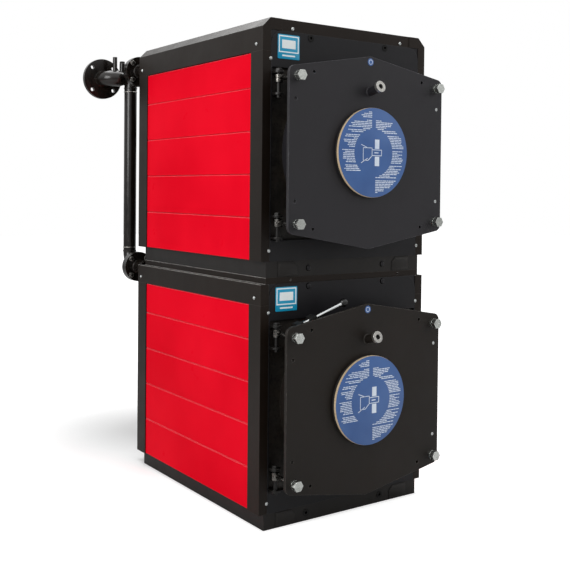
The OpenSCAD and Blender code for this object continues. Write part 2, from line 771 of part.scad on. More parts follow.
module weld_bore(s) translate([0, riser_y, s * bend_r - (s > 0 ? 1 : weld_h + 1)])
    cylinder(r = pipe_r - pipe_wall, h = weld_h + 2);

module pipe_flange() difference() {
    bar_y(0, flange_y, 0, flange_d / 2, flange_t);
    bar_y(0, flange_y - 1, 0, pipe_r - pipe_wall, flange_t + 2);
    flange_holes(0, flange_y - 1, 0, flange_pcd, flange_hole_d, flange_t + 2);
}

// a flanged elbow at a nozzle
module flanged_bend(s) {
    pipe_flange();
    bend(s);
    difference() {
        weld(s);
        weld_bore(s);
    }
}

// a flanged tee at a nozzle, with its branch, elbow and branch flange
module flanged_tee(s, has_stubs) {
    pipe_flange();
    difference() {
        union() {
            tee(s, 0);
            weld(s);
            if (has_stubs) translate([0, 0, s * branch_drop]) stubs();
        }
        tee(s, pipe_wall);
        weld_bore(s);
    }
    difference() {
        branch_bend(s, 0);
        branch_bend(s, pipe_wall);
    }
    difference() {
        bar_y(-branch_out, branch_y, s * branch_drop, branch_flange_d / 2, flange_t);
        bar_y(-branch_out, branch_y - 1, s * branch_drop, branch_r - pipe_wall, flange_t + 2);
        flange_holes(-branch_out, branch_y - 1, s * branch_drop, branch_pcd, branch_hole_d, flange_t + 2);
    }
}

module stubs() {
    translate([-branch_out + branch_bend_r - vent_in, riser_y, 0]) cylinder(r = vent_r, h = vent_h);
    translate([-pipe_r - socket_in, riser_y, 0]) cylinder(r = socket_r, h = socket_h);
}

module riser(z0, z1) translate([0, riser_y, 0]) difference() {
    translate([0, 0, z0 + bend_r + weld_h]) cylinder(r = pipe_r, h = z1 - z0 - 2 * (bend_r + weld_h));
    translate([0, 0, z0]) cylinder(r = pipe_r - pipe_wall, h = z1 - z0);
}

// round smokebox on the drum's rear plate, open to the smoke tubes, with a flue spigot
module smokebox() {
    y0 = drum_end;
    y1 = y0 + smokebox_l;
    w = smokebox_wall;
    step = smokebox_step;
    difference() {
        union() {
            bar_y(0, y0, axis_z, smokebox_r, smokebox_l - step);
            bar_y(0, y1 - step, axis_z, smokebox_r - step, step);
            bar_y(0, y1 - 1, axis_z + flue_up, flue_r, flue_l + 1);
        }
        bar_y(0, y0 - 1, axis_z, smokebox_r - step - w, smokebox_l + 1 - w);
        bar_y(0, y1 - w - 1, axis_z + flue_up, flue_r - flue_wall, flue_l + w + 2);
    }
}

module lower_base() color(black) unit(0) base_frame();
module lower_front() color(black) unit(0) front_sheet();
module lower_sides() color(black) unit(0) side_pair();
module lower_boards() color(red) unit(0) pair() side_boards();
module lower_rear() color(black) unit(0) rear_sheet(flow_low_z);
module lower_top() color(black) unit(0) flat_top();
module lower_body() color(iron) unit(0) drum();
module lower_tubes() color(iron) unit(0) smoke_tubes();
module lower_tube_plate() color(iron) unit(0) tube_plates();
module lower_hinges() color(black) unit(0) hinge_set();
module lower_smokebox() color(black) unit(0) smokebox();
module lower_nozzles() color(black) unit(0) nozzle_set(flow_low_z);
module lower_door() color(black) unit(0) door_plate();
module lower_door_ring() color(black) unit(0) ring();
module lower_door_lining() color(cream) unit(0) lining();
module lower_door_seal() color(cream) unit(0) rope_seal();
module lower_burner_cover() color(cream) unit(0) cover_disc();
module lower_sight_tube() color(black) unit(0) sight_pipe();
module lower_sight_ring() color(zinc) unit(0) sight_nut();
module lower_door_bolts() color(zinc) unit(0) bolt_set();
module rod_holder() color(black) unit(0) holder();
module cleaning_rod() color(zinc) unit(0) rod();
module upper_base() color(black) unit(1) base_frame();
module upper_front() color(black) unit(1) front_sheet();
module upper_sides() color(black) unit(1) side_pair();
module upper_boards() color(red) unit(1) pair() side_boards();
module upper_rear() color(black) unit(1) rear_sheet(flow_high_z - unit_h);
module upper_top() color(black) unit(1) chamfered_cover();
module upper_body() color(iron) unit(1) drum();
module upper_tubes() color(iron) unit(1) smoke_tubes();
module upper_tube_plate() color(iron) unit(1) tube_plates();
module upper_hinges() color(black) unit(1) hinge_set();
module upper_smokebox() color(black) unit(1) smokebox();
module upper_nozzles() color(black) unit(1) nozzle_set(flow_high_z - unit_h);
module upper_door() color(black) unit(1) door_plate();
module upper_door_ring() color(black) unit(1) ring();
module upper_door_lining() color(cream) unit(1) lining();
module upper_door_seal() color(cream) unit(1) rope_seal();
module upper_burner_cover() color(cream) unit(1) cover_disc();
module upper_sight_tube() color(black) unit(1) sight_pipe();
module upper_sight_ring() color(zinc) unit(1) sight_nut();
module upper_door_bolts() color(zinc) unit(1) bolt_set();
module flow_lower_bend() color(black) unit(0)
    translate([-nozzle_x, 0, flow_low_z]) flanged_bend(1);
module flow_riser() color(black) unit(0) translate([-nozzle_x, 0, 0]) riser(flow_low_z, flow_high_z);
module flow_upper_bend() color(black) unit(0)
    translate([-nozzle_x, 0, flow_high_z]) flanged_tee(-1, true);
module return_lower_bend() color(black) unit(0)
    translate([nozzle_x, 0, return_z]) mirror([1, 0, 0]) flanged_tee(1, false);
module return_riser() color(black) unit(0) translate([nozzle_x, 0, 0]) riser(return_z, unit_h + return_z);
module return_upper_bend() color(black) unit(1)
    translate([nozzle_x, 0, return_z]) flanged_bend(-1);

lower_base();
lower_front();
lower_sides();
lower_boards();
lower_rear();
lower_top();
lower_body();
lower_tubes();
lower_tube_plate();
lower_hinges();
lower_smokebox();
lower_nozzles();
lower_door();
lower_door_ring();
lower_door_lining();
lower_door_seal();
lower_burner_cover();
lower_sight_tube();
lower_sight_ring();
lower_door_bolts();
rod_holder();
cleaning_rod();
upper_base();
upper_front();
upper_sides();
upper_boards();
upper_rear();
upper_top();
upper_body();
upper_tubes();
upper_tube_plate();
upper_hinges();
upper_smokebox();
upper_nozzles();
upper_door();
upper_door_ring();
upper_door_lining();
upper_door_seal();
upper_burner_cover();
upper_sight_tube();
upper_sight_ring();
upper_door_bolts();
flow_lower_bend();
flow_riser();
flow_upper_bend();
return_lower_bend();
return_riser();
return_upper_bend();
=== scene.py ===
import random
from math import atan2, cos, hypot, pi, radians, sin, sqrt

import bpy
from mathutils import Matrix, Vector


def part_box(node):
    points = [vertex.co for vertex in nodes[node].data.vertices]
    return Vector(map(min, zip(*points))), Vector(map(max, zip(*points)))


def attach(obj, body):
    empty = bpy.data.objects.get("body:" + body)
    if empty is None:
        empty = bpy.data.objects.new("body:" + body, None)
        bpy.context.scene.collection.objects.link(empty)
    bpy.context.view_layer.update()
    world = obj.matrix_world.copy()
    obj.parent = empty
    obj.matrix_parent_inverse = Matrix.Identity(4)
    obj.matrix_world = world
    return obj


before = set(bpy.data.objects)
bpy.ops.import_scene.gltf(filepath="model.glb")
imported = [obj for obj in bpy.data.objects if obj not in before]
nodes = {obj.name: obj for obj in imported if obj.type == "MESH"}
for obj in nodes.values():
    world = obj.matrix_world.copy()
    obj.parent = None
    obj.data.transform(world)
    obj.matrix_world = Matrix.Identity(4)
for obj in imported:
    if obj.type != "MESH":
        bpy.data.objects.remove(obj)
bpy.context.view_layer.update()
print("frame loaded,", len(nodes), "solids' nodes")

unitRise = {"lower": 0.0, "upper": 0.954}  # height of each unit's base over the floor
axisHeight = 0.477  # the drum's axis over its unit's base
skinProud = 0.003  # the front's raised skin over its sheet
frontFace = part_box("lower_front")[0].y  # the raised skin's face
sheetFace = frontFace + skinProud
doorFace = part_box("lower_door")[0].y
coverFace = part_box("lower_burner_cover")[0].y
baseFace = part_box("lower_base")[0].y
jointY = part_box("lower_nozzles")[1].y  # where the nozzles' flanges meet the pipes'
toFront = (0, -1, 0)  # out of the front


# camera, from the fit of the casing's corners

camera = {"lens": 56.48, "sensor": 36, "shiftY": -0.1287, "clipEnd": 60,
          "place": (-2.2467, -3.3185, 1.2823), "yaw": 35.02, "pitch": -1.12, "roll": 0.55}


def makeCamera(c):
    data = bpy.data.cameras.new("camera")
    data.sensor_width = c["sensor"]
    data.lens = c["lens"]
    data.shift_y = c["shiftY"]
    data.clip_end = c["clipEnd"]
    eye = bpy.data.objects.new("camera", data)
    bpy.context.scene.collection.objects.link(eye)
    yaw, pitch, roll = radians(c["yaw"]), radians(c["pitch"]), radians(c["roll"])
    ahead = Vector((sin(yaw) * cos(pitch), cos(yaw) * cos(pitch), sin(pitch)))
    level = Vector((cos(yaw), -sin(yaw), 0))
    over = level.cross(ahead)
    right = level * cos(roll) + over * sin(roll)
    up = over * cos(roll) - level * sin(roll)
    turn = Matrix((right, up, -ahead)).transposed().to_4x4()
    eye.matrix_world = Matrix.Translation(c["place"]) @ turn
    bpy.context.scene.camera = eye


makeCamera(camera)
print("camera set")


# node helpers; a pattern's scale is 1000 over its real size in millimetres

def fromHex(code):
    parts = [int(code[i:i + 2], 16) / 255 for i in (1, 3, 5)]
    return tuple(p / 12.92 if p <= 0.04045 else ((p + 0.055) / 1.055) ** 2.4 for p in parts) + (1.0,)


def feed(socket, value):
    # value is a hex colour, a number or vector, an output, or a node, which gives its first output
    if isinstance(value, bpy.types.Node):
        value = next(out for out in value.outputs if out.enabled)
    if isinstance(value, bpy.types.NodeSocket):
        socket.id_data.links.new(value, socket)
    else:
        socket.default_value = fromHex(value) if isinstance(value, str) else value


def addNode(tree, kind, sockets=(), **settings):
    node = tree.nodes.new("ShaderNode" + kind)
    for key, value in settings.items():
        setattr(node, key, value)
    if isinstance(sockets, dict):
        pairs = [(node.inputs[key], value) for key, value in sockets.items()]
    else:
        pairs = zip([s for s in node.inputs if s.enabled], sockets)  # in the order that the node shows
    for socket, value in pairs:
        feed(socket, value)
    return node


def newFinish(name, base, roughness, metallic=0.0, sheen=None):
    mat = bpy.data.materials.new(name)
    mat.use_nodes = True
    tree = mat.node_tree
    shader = tree.nodes["Principled BSDF"]
    feed(shader.inputs["Base Color"], base)
    feed(shader.inputs["Roughness"], roughness)
    feed(shader.inputs["Metallic"], metallic)
    if not metallic:
        feed(shader.inputs["IOR"], 1.5)  # paint, rubber, glass and stone
    if sheen is not None:
        feed(shader.inputs["Specular IOR Level"], sheen)
    place = addNode(tree, "TexCoord").outputs["Object"]
    return mat, tree, shader, place


def coat(shader, colour, roughness=None, relief=None):
    feed(shader.inputs["Base Color"], colour)
    if roughness:
        feed(shader.inputs["Roughness"], roughness)
    if relief:
        feed(shader.inputs["Normal"], addNode(shader.id_data, "Bump", relief))


bevelSamples = 6
edgeLean = (0.985, 0.80)  # cosines of about 10 and 37 degrees


def edgeMask(tree, width):
    # the normal rounded over the edges, and a mask that is 1 along them
    soft = addNode(tree, "Bevel", [width], samples=bevelSamples)
    shape = addNode(tree, "NewGeometry").outputs["True Normal"]
    lean = addNode(tree, "VectorMath", [soft, shape], operation="DOT_PRODUCT")
    return soft, addNode(tree, "MapRange", [lean, *edgeLean])


def patches(tree, place, size, detail, rough, low, high, least=0.0, most=1.0):
    # cloudy patches of a size in millimetres, from least to most between two levels of their noise
    noise = addNode(tree, "TexNoise", [place, 1000 / size, detail, rough])
    return addNode(tree, "MapRange", [noise, low, high, least, most])


# painted finishes; lengths of patterns in millimetres, widths of edges in metres

# chips, dust, and the near-white painted highlight on the lower unit's shoulder
paintWearAndHighlight = {"chip": 18, "chips": (0.245, 0.7), "dust": "#6E6A64", "speck": 60, "dustMost": 0.2,
             "shoulderHighlight": "#FFFDF8", "highlightFade": 0.002, "gloss": 110, "smoother": 0.05, "rougher": 0.07}


def paintedSteel(name, dark, light, edge, roughness, peel,
                 cloud=350, rubbed=0.0016, sheen=0.36, highlightAbove=None):
    c = paintWearAndHighlight
    mat, tree, shader, place = newFinish(name, dark, roughness, 0.0, sheen)
    clouds = patches(tree, place, cloud, 4, 0.55, 0.3, 0.7)
    body = addNode(tree, "Mix", [clouds, dark, light], data_type="RGBA")
    # the pale edge colour is partly rubbed paint and partly a painted highlight along the edges
    smooth, edges = edgeMask(tree, rubbed)
    chips = patches(tree, place, c["chip"], 5, 0.7, 0.46, 0.62, *c["chips"])  # wear comes in short lengths
    wearAndHighlight = addNode(tree, "Math", [edges, chips], operation="MULTIPLY")
    wornAndHighlit = addNode(tree, "Mix", [wearAndHighlight, body, edge], data_type="RGBA")
    if highlightAbove is not None:  # folds along the sides, over this height, get a near-white painted highlight
        height = addNode(tree, "SeparateXYZ", [place]).outputs["Z"]
        over = addNode(tree, "MapRange", [height, highlightAbove, highlightAbove + c["highlightFade"]])
        faces = addNode(tree, "SeparateXYZ", [smooth]).outputs
        fold = addNode(tree, "Math", [faces["X"], faces["Z"]], operation="MULTIPLY")
        along = addNode(tree, "Math", [fold], operation="ABSOLUTE")
        along = addNode(tree, "MapRange", [along, 0.05, 0.2])
        both = addNode(tree, "Math", [over, along], operation="MULTIPLY")
        litFold = addNode(tree, "Math", [edges, both], operation="MULTIPLY")
        wornAndHighlit = addNode(tree, "Mix", [litFold, wornAndHighlit, c["shoulderHighlight"]], data_type="RGBA")
    lie = addNode(tree, "SeparateXYZ", [addNode(tree, "NewGeometry").outputs["Normal"]]).outputs["Z"]
    level = addNode(tree, "MapRange", [lie, 0.5, 1.0, 0, c["dustMost"]])
    specks = patches(tree, place, c["speck"], 6, 0.7, 0.45, 0.75)
    settled = addNode(tree, "Math", [level, specks], operation="MULTIPLY")
    dusty = addNode(tree, "Mix", [settled, wornAndHighlit, c["dust"]], data_type="RGBA")
    gloss = (roughness - c["smoother"], roughness + c["rougher"])
    satin = patches(tree, place, c["gloss"], 5, 0.6, 0.3, 0.7, *gloss)
    skin = addNode(tree, "TexNoise", [place, 1000 / peel, 2, 0.4])
    coat(shader, dusty, satin, {"Height": skin, "Normal": smooth, "Strength": 0.16, "Distance": 0.0006})
    return mat


# stoved satin paint on folded sheet: even, faint orange peel, pale along the folds, partly rubbed paint and
# partly painted highlight
# the peel is drawn at 9 mm so that it shows
casingTones = ("#140D08", "#1B130D", "#4E4A44")
casingBlack = paintedSteel("stoved satin black on folded sheet", *casingTones, 0.42, 9, sheen=0.22)
# the lower unit's, with a near-white painted highlight along the shoulder's folds
shoulderBlack = paintedSteel("stoved satin black with a painted shoulder highlight", *casingTones, 0.42, 9,
                             rubbed=0.0026, sheen=0.22, highlightAbove=0.926)
# the same paint on the front sheet, a little cooler
frontBlack = paintedSteel("stoved satin black on front sheet", "#0C0B0E", "#121115", "#504F50", 0.46, 9,
                          sheen=0.32)
# heat paint brushed on thick plate: flatter, pale edges as painted highlight; a little grey on the upper door,
# browner on the lower as painted warm floor reflection
doorBlack = {
    "lower": paintedSteel("matt heat paint on lower door plate", "#130E0A", "#19130E", "#84807A", 0.52, 14,
                          cloud=220, rubbed=0.003, sheen=0.3),
    "upper": paintedSteel("matt heat paint on upper door plate", "#110F14", "#17151A", "#84838A", 0.52, 14,
                          cloud=220, rubbed=0.003, sheen=0.5),
}
# base channel: the same black brushed on, with broader marks
baseBlack = paintedSteel("brushed black on base channel", "#0E0B09", "#15110E", "#4E4A45", 0.48, 12)
# hinge ears and pins: brushed over, with pale edges that are painted highlights
hingeBlack = paintedSteel("black hinge steel with painted edge highlights", "#0C0B0A", "#151312", "#7C7974", 0.36, 10,
                          cloud=50)


def pipePaint():
    # air-dried gloss brushed on steel pipe: brown in the light, 16 mm brush marks along the run, shiny
    mat, tree, shader, place = newFinish("brushed gloss black on steel pipe", "#14100C", 0.2)
    drawn = addNode(tree, "Mapping", {"Vector": place, "Scale": (1.0, 1.0, 0.35)})
    marks = addNode(tree, "TexNoise", [drawn, 1000 / 16, 4, 0.6])
    strokes = addNode(tree, "MapRange", [marks, 0.3, 0.7])
    body = addNode(tree, "Mix", [strokes, "#0E0B09", "#1A1511"], data_type="RGBA")
    smooth, edges = edgeMask(tree, 0.0015)
    rust = patches(tree, place, 50, 6, 0.7, 0.6, 0.8, 0, 0.35)
    body = addNode(tree, "Mix", [rust, body, "#2C221A"], data_type="RGBA")
    # the pale edges are partly rubbed paint and partly painted highlight
    rubbed = addNode(tree, "Math", [edges, 0.5], operation="MULTIPLY")
    wornAndHighlit = addNode(tree, "Mix", [rubbed, body, "#6A6158"], data_type="RGBA")
    gloss = addNode(tree, "MapRange", [marks, 0.3, 0.7, 0.13, 0.27])
    coat(shader, wornAndHighlit, gloss, {"Height": marks, "Normal": smooth, "Strength": 0.3, "Distance": 0.0006})
    return mat


redBoard = {"foot": 0.062, "pitch": 0.1635, "sheen": 0.012,  # hardly any white shows in the red
            "batch": ("#EA0220", "#E2001D"), "cloud": "#F20A26", "seam": "#FFC8D2"}


def redPaint(c):
    # stoved gloss red on pressed boards: each board is its own batch, with a faint peel and pale chamfers
    mat, tree, shader, place = newFinish("stoved gloss red on sheet boards", "#E2001A", 0.30, 0.0, c["sheen"])
    height = addNode(tree, "SeparateXYZ", [place]).outputs["Z"]
    over = addNode(tree, "Math", [height, c["foot"]], operation="SUBTRACT")
    step = addNode(tree, "Math", [over, c["pitch"]], operation="DIVIDE")
    count = addNode(tree, "Math", [step], operation="FLOOR")
    batch = addNode(tree, "TexWhiteNoise", [count], noise_dimensions="1D")
    tone = addNode(tree, "Mix", [batch, *c["batch"]], data_type="RGBA")
    clouds = patches(tree, place, 500, 3, 0.55, 0.35, 0.65)
    tone = addNode(tree, "Mix", [clouds, tone, c["cloud"]], data_type="RGBA")
    smooth, edges = edgeMask(tree, 0.0028)
    rise = addNode(tree, "SeparateXYZ", [smooth]).outputs["Z"]
    upward = addNode(tree, "MapRange", [rise, 0.02, 0.25, 0.1, 1.0])  # the top chamfers catch the light
    seam = addNode(tree, "Math", [edges, upward], operation="MULTIPLY")
    seamed = addNode(tree, "Mix", [seam, tone, c["seam"]], data_type="RGBA")
    gloss = patches(tree, place, 90, 4, 0.55, 0.3, 0.7, 0.27, 0.36)
    skin = addNode(tree, "TexNoise", [place, 1000 / 11, 2, 0.4])
    coat(shader, seamed, gloss, {"Height": skin, "Normal": smooth, "Strength": 0.12, "Distance": 0.0005})
    return mat


# bare and plated metals

# bright zinc on turned steel: pale blue-grey metal, fine turning marks, small dull spots
screwZinc = {"name": "bright zinc on turned steel", "base": "#CDD2D2", "roughness": 0.27,
             "tones": ("#D6DADA", "#A9ADAA"), "spot": 6, "gloss": (0.22, 0.42), "edge": 0.0008,
             "lathe": (1.0, 0.05, 1.0), "mark": 2.2, "relief": 0.12, "depth": 0.0002, "oiled": None}
# bright zinc on the heads, and oiled dark steel on the eyes and nuts behind the door plate, darker still as
# painted shade, with pale patches as painted glints
doorBolt = {"name": "zinc heads and oiled eye bolts in painted shade", "base": "#D0D4D1", "roughness": 0.3,
            "tones": ("#DEE1DD", "#B2B6B0"), "spot": 7, "gloss": (0.18, 0.36), "edge": 0.0014,
            "lathe": (1.0, 1.0, 0.05), "mark": 3, "relief": 0.25, "depth": 0.0003,
            "oiled": ("#44423F", "#94928E"), "oiledShadeFrom": 0.004, "oiledShadeBy": 0.008}


def turnedZinc(c):
    mat, tree, shader, place = newFinish(c["name"], c["base"], c["roughness"], 1.0)
    spots = patches(tree, place, c["spot"], 5, 0.65, 0.4, 0.7)
    colour = addNode(tree, "Mix", [spots, *c["tones"]], data_type="RGBA")
    if c["oiled"]:
        # behind the door plate the dark patches are painted shade and the pale ones painted glints on oiled
        # steel
        oiled = addNode(tree, "Mix", [spots, *c["oiled"]], data_type="RGBA")
        depth = addNode(tree, "SeparateXYZ", [place]).outputs["Y"]
        behind = addNode(tree, "MapRange", [depth, doorFace + c["oiledShadeFrom"], doorFace + c["oiledShadeBy"]])
        colour = addNode(tree, "Mix", [behind, colour, oiled], data_type="RGBA")
    smooth = addNode(tree, "Bevel", [c["edge"]], samples=bevelSamples)
    drawn = addNode(tree, "Mapping", {"Vector": place, "Scale": c["lathe"]})
    turning = addNode(tree, "TexNoise", [drawn, 1000 / c["mark"], 2, 0.5])
    coat(shader, colour, addNode(tree, "MapRange", [spots, 0, 1, *c["gloss"]]),
         {"Height": turning, "Normal": smooth, "Strength": c["relief"], "Distance": c["depth"]})
    return mat


def mottled(name, base, roughness, tones, size, gloss, metallic=0.0, sheen=None,
            noise=(5, 0.65, 0.35, 0.7), edge=None):
    # two tones in patches that differ in gloss; edge is a painted highlight's colour, its width and the
    # patches' depth
    mat, tree, shader, place = newFinish(name, base, roughness, metallic, sheen)
    spots = patches(tree, place, size, *noise)
    colour = addNode(tree, "Mix", [spots, *tones], data_type="RGBA")
    relief = None
    if edge:
        pale, width, depth = edge
        smooth, edges = edgeMask(tree, width)
        colour = addNode(tree, "Mix", [edges, colour, pale], data_type="RGBA")
        relief = {"Height": spots, "Normal": smooth, "Strength": 0.15, "Distance": depth}
    coat(shader, colour, addNode(tree, "MapRange", [spots, 0, 1, *gloss]), relief)
    return mat


cleaningRod = {"slope": 19, "knobFrom": 0.1726, "knobBy": 0.1732}  # along the rod, where the chrome ends


def rodSteel(c):
    # chromed rod with a moulded knob: smooth bright metal, then satin black plastic
    mat, tree, shader, place = newFinish("chromed rod with moulded knob", "#D4D6D6", 0.2, 1.0)
    slope = radians(c["slope"])
    along = addNode(tree, "VectorMath", [place, (cos(slope), 0, sin(slope))], operation="DOT_PRODUCT")
    knob = addNode(tree, "MapRange", [along, c["knobFrom"], c["knobBy"]])
    haze = patches(tree, place, 25, 4, 0.55, 0.3, 0.7)
    chrome = addNode(tree, "Mix", [haze, "#C2C6C6", "#E2E4E4"], data_type="RGBA")
    plastic = addNode(tree, "Mix", [haze, "#0B0B0C", "#161617"], data_type="RGBA")
    coat(shader, addNode(tree, "Mix", [knob, chrome, plastic], data_type="RGBA"),
         addNode(tree, "MapRange", [haze, 0, 1, 0.16, 0.26]))
    feed(shader.inputs["Metallic"], addNode(tree, "MapRange", [knob, 0, 1, 1, 0]))
    return mat


def boilerPlate():
    # rolled boiler plate gone dark by heat: mill scale, straw tints, dry soot
    mat, tree, shader, place = newFinish("heat-marked boiler plate", "#2A2725", 0.6, 0.4)
    scale = patches(tree, place, 50, 8, 0.68, 0.35, 0.68)
    body = addNode(tree, "Mix", [scale, "#1D1B19", "#3D3935"], data_type="RGBA")
    straw = patches(tree, place, 160, 3, 0.55, 0.5, 0.75, 0, 0.5)
    body = addNode(tree, "Mix", [straw, body, "#3A2E24"], data_type="RGBA")
    soot = patches(tree, place, 22, 7, 0.75, 0.5, 0.68, 0, 0.7)
    smooth = addNode(tree, "Bevel", [0.0012], samples=bevelSamples)
    coat(shader, addNode(tree, "Mix", [soot, body, "#0F0D0C"], data_type="RGBA"),
         addNode(tree, "MapRange", [soot, 0, 0.7, 0.46, 0.86]),
         {"Height": scale, "Normal": smooth, "Strength": 0.3, "Distance": 0.0008})
    return mat


# linings, seals and films

def refractoryCast():
    # cast refractory: sandy cream, air pits of 2 to 5 mm, hairline cracks every 120 mm, patches of soot
    mat, tree, shader, place = newFinish("cast refractory concrete", "#CDBB9C", 0.88)
    sand = patches(tree, place, 8, 6, 0.7, 0.3, 0.7)
    body = addNode(tree, "Mix", [sand, "#B9A686", "#DCCDB2"], data_type="RGBA")
    pits = addNode(tree, "TexVoronoi", [place, 1000 / 11])
    hollow = addNode(tree, "MapRange", [pits, 0.10, 0.24])
    cracks = addNode(tree, "TexVoronoi", [place, 1000 / 120], feature="DISTANCE_TO_EDGE")
    line = addNode(tree, "MapRange", [cracks, 0.004, 0.016])
    whole = addNode(tree, "Math", [hollow, line], operation="MULTIPLY")
    # the pits and cracks are drawn in one darker tone, which in the pits is painted shade
    body = addNode(tree, "Mix", [whole, "#7E705A", body], data_type="RGBA")
    smoke = patches(tree, place, 90, 5, 0.6, 0.45, 0.7, 0, 0.55)
    height = addNode(tree, "Math", [whole, sand], operation="ADD")
    coat(shader, addNode(tree, "Mix", [smoke, body, "#5B5147"], data_type="RGBA"), None,
         {"Height": height, "Strength": 0.5, "Distance": 0.0015})
    return mat


ropeBraid = {"ringR": 0.2895, "crossing": 0.014, "strand": 0.011}


def ceramicRope(name, middle, c):
    # braided ceramic rope, 22 mm: white strands that cross every 14 mm or so along the ring, darker between
    # them as painted shade
    mat, tree, shader, place = newFinish(name, "#D6D2C6", 0.9)
    local = addNode(tree, "Mapping", {"Vector": place, "Location": (0, 0, -middle)})
    parts = addNode(tree, "SeparateXYZ", [local]).outputs
    angle = addNode(tree, "Math", [parts["X"], parts["Z"]], operation="ARCTAN2")
    flat = addNode(tree, "CombineXYZ", {"X": parts["X"], "Z": parts["Z"]})
    radius = addNode(tree, "VectorMath", [flat], operation="LENGTH")
    along = addNode(tree, "Math", [angle, c["ringR"] * 2 * pi / c["crossing"]], operation="MULTIPLY")
    across = addNode(tree, "Math", [radius, 2 * pi / c["strand"]], operation="MULTIPLY")
    strands = []
    for way in ("ADD", "SUBTRACT"):  # one set leans each way
        lean = addNode(tree, "Math", [along, across], operation=way)
        strands.append(addNode(tree, "Math", [lean], operation="SINE"))
    upper = addNode(tree, "Math", strands, operation="MAXIMUM")
    braid = addNode(tree, "MapRange", [upper, -0.2, 1.0])
    fuzz = patches(tree, place, 3, 4, 0.7, 0.3, 0.7, 0, 0.3)
    body = addNode(tree, "Mix", [braid, "#8E877A", "#E4E0D4"], data_type="RGBA")
    coat(shader, addNode(tree, "Mix", [fuzz, body, "#BDB5A4"], data_type="RGBA"), None,
         {"Height": braid, "Strength": 0.8, "Distance": 0.003})
    return mat


coverRim = {"creamTo": 0.0095, "darkFrom": 0.0105}  # behind the face; from there back the board's side is coloured near black


def fibreBoard(c):
    # vacuum-formed ceramic fibre board: warm cream, felted fibres, layers along the cut edge
    mat, tree, shader, place = newFinish("vacuum-formed ceramic fibre board", "#DCC4A0", 0.85)
    pressed = addNode(tree, "Mapping", {"Vector": place, "Scale": (1.0, 0.2, 1.0)})
    felt = addNode(tree, "TexNoise", [pressed, 1000 / 4, 5, 0.7])
    fibres = addNode(tree, "MapRange", [felt, 0.3, 0.7])
    body = addNode(tree, "Mix", [fibres, "#CDB28A", "#EAD6B6"], data_type="RGBA")
    stacked = addNode(tree, "Mapping", {"Vector": place, "Scale": (0.15, 6.0, 0.15)})
    layers = patches(tree, stacked, 30, 3, 0.6, 0.5, 0.7, 0, 0.35)
    body = addNode(tree, "Mix", [layers, body, "#A98A5E"], data_type="RGBA")
    depth = addNode(tree, "SeparateXYZ", [place]).outputs["Y"]
    # back from the face, the board's side is coloured near black
    ring = addNode(tree, "MapRange", [depth, coverFace + c["creamTo"], coverFace + c["darkFrom"]])
    coat(shader, addNode(tree, "Mix", [ring, body, "#141212"], data_type="RGBA"), None,
         {"Height": felt, "Strength": 0.5, "Distance": 0.001})
    return mat


def printedFilm(name, base, other, roughness):
    # screen print on plastic film: even colour, slight mottling of the ink, soft sheen
    mat, tree, shader, place = newFinish(name, base, roughness)
    ink = patches(tree, place, 20, 6, 0.65, 0.3, 0.7)
    wash = patches(tree, place, 140, 2, 0.55, 0.35, 0.65)
    body = addNode(tree, "Mix", [wash, base, other], data_type="RGBA")
    mottle = addNode(tree, "Math", [ink, 0.25], operation="MULTIPLY")
    coat(shader, addNode(tree, "Mix", [mottle, body, other], data_type="RGBA"),
         addNode(tree, "MapRange", [ink, 0, 1, roughness - 0.04, roughness + 0.08]),
         {"Height": ink, "Strength": 0.06, "Distance": 0.0003})
    return mat


pipeBlack = pipePaint()
boardRed = redPaint(redBoard)
brightZinc = turnedZinc(screwZinc)
doorBoltSteel = turnedZinc(doorBolt)
# black oxide on nuts and bolts, wiped with oil: dark metal, with pale corners that are painted highlights
boltOxide = mottled("oiled black oxide on bolts", "#2A2622", 0.34, ("#24211E", "#191714"), 8, (0.3, 0.48),
                    metallic=0.4, edge=("#DCD8D0", 0.0022, 0.0003))
chromeRod = rodSteel(cleaningRod)
# moulded rubber: dull black with a paler bloom
rubber = mottled("moulded black rubber", "#0C0C0C", 0.7, ("#0A0A0A", "#161514"), 6, (0.55, 0.8),
                 sheen=0.25)
# dull nickel on a turned ring nut: grey metal, with pale edges round the bore that are painted highlights
ringMetal = mottled("dull nickel on turned ring nut", "#B4B3AF", 0.36, ("#C6C5C1", "#96948F"), 5, (0.3, 0.48),
                    metallic=1.0, edge=("#E6E5E2", 0.0014, 0.0002))
hotPlate = boilerPlate()
castLining = refractoryCast()
ropes = {}
for unit, rise in unitRise.items():
    ropes[unit] = ceramicRope("braided ceramic rope, " + unit + " door", axisHeight + rise, ropeBraid)
coverBoard = fibreBoard(coverRim)
blueFilm = printedFilm("blue screen-printed film", "#385A92", "#43669E", 0.38)
paleInk = printedFilm("pale ink on film", "#C9D6EA", "#E4ECF6", 0.45)
tealFilm = printedFilm("teal enamel on name plate", "#088EB8", "#0CA0CA", 0.32)
whiteFilm = printedFilm("white enamel on name plate", "#E9F4F6", "#F8FCFC", 0.32)
# smoked heat glass: nearly black, glossy, a little clouded
smokedGlass = mottled("smoked heat glass", "#06080A", 0.08, ("#050709", "#12161A"), 4, (0.06, 0.2),
                      sheen=0.2, noise=(4, 0.6, 0.3, 0.7))
# weld ground back to bare steel and lacquered: pale ripples with tinted hollows
groundWeld = mottled("ground and lacquered weld steel", "#A8A49C", 0.34, ("#8C8880", "#D8D6D0"), 5,
                     (0.45, 0.25), metallic=1.0, noise=(4, 0.6, 0.35, 0.65))
print("finishes made")


# the CAD nodes' finishes; pipework takes the pipes' black

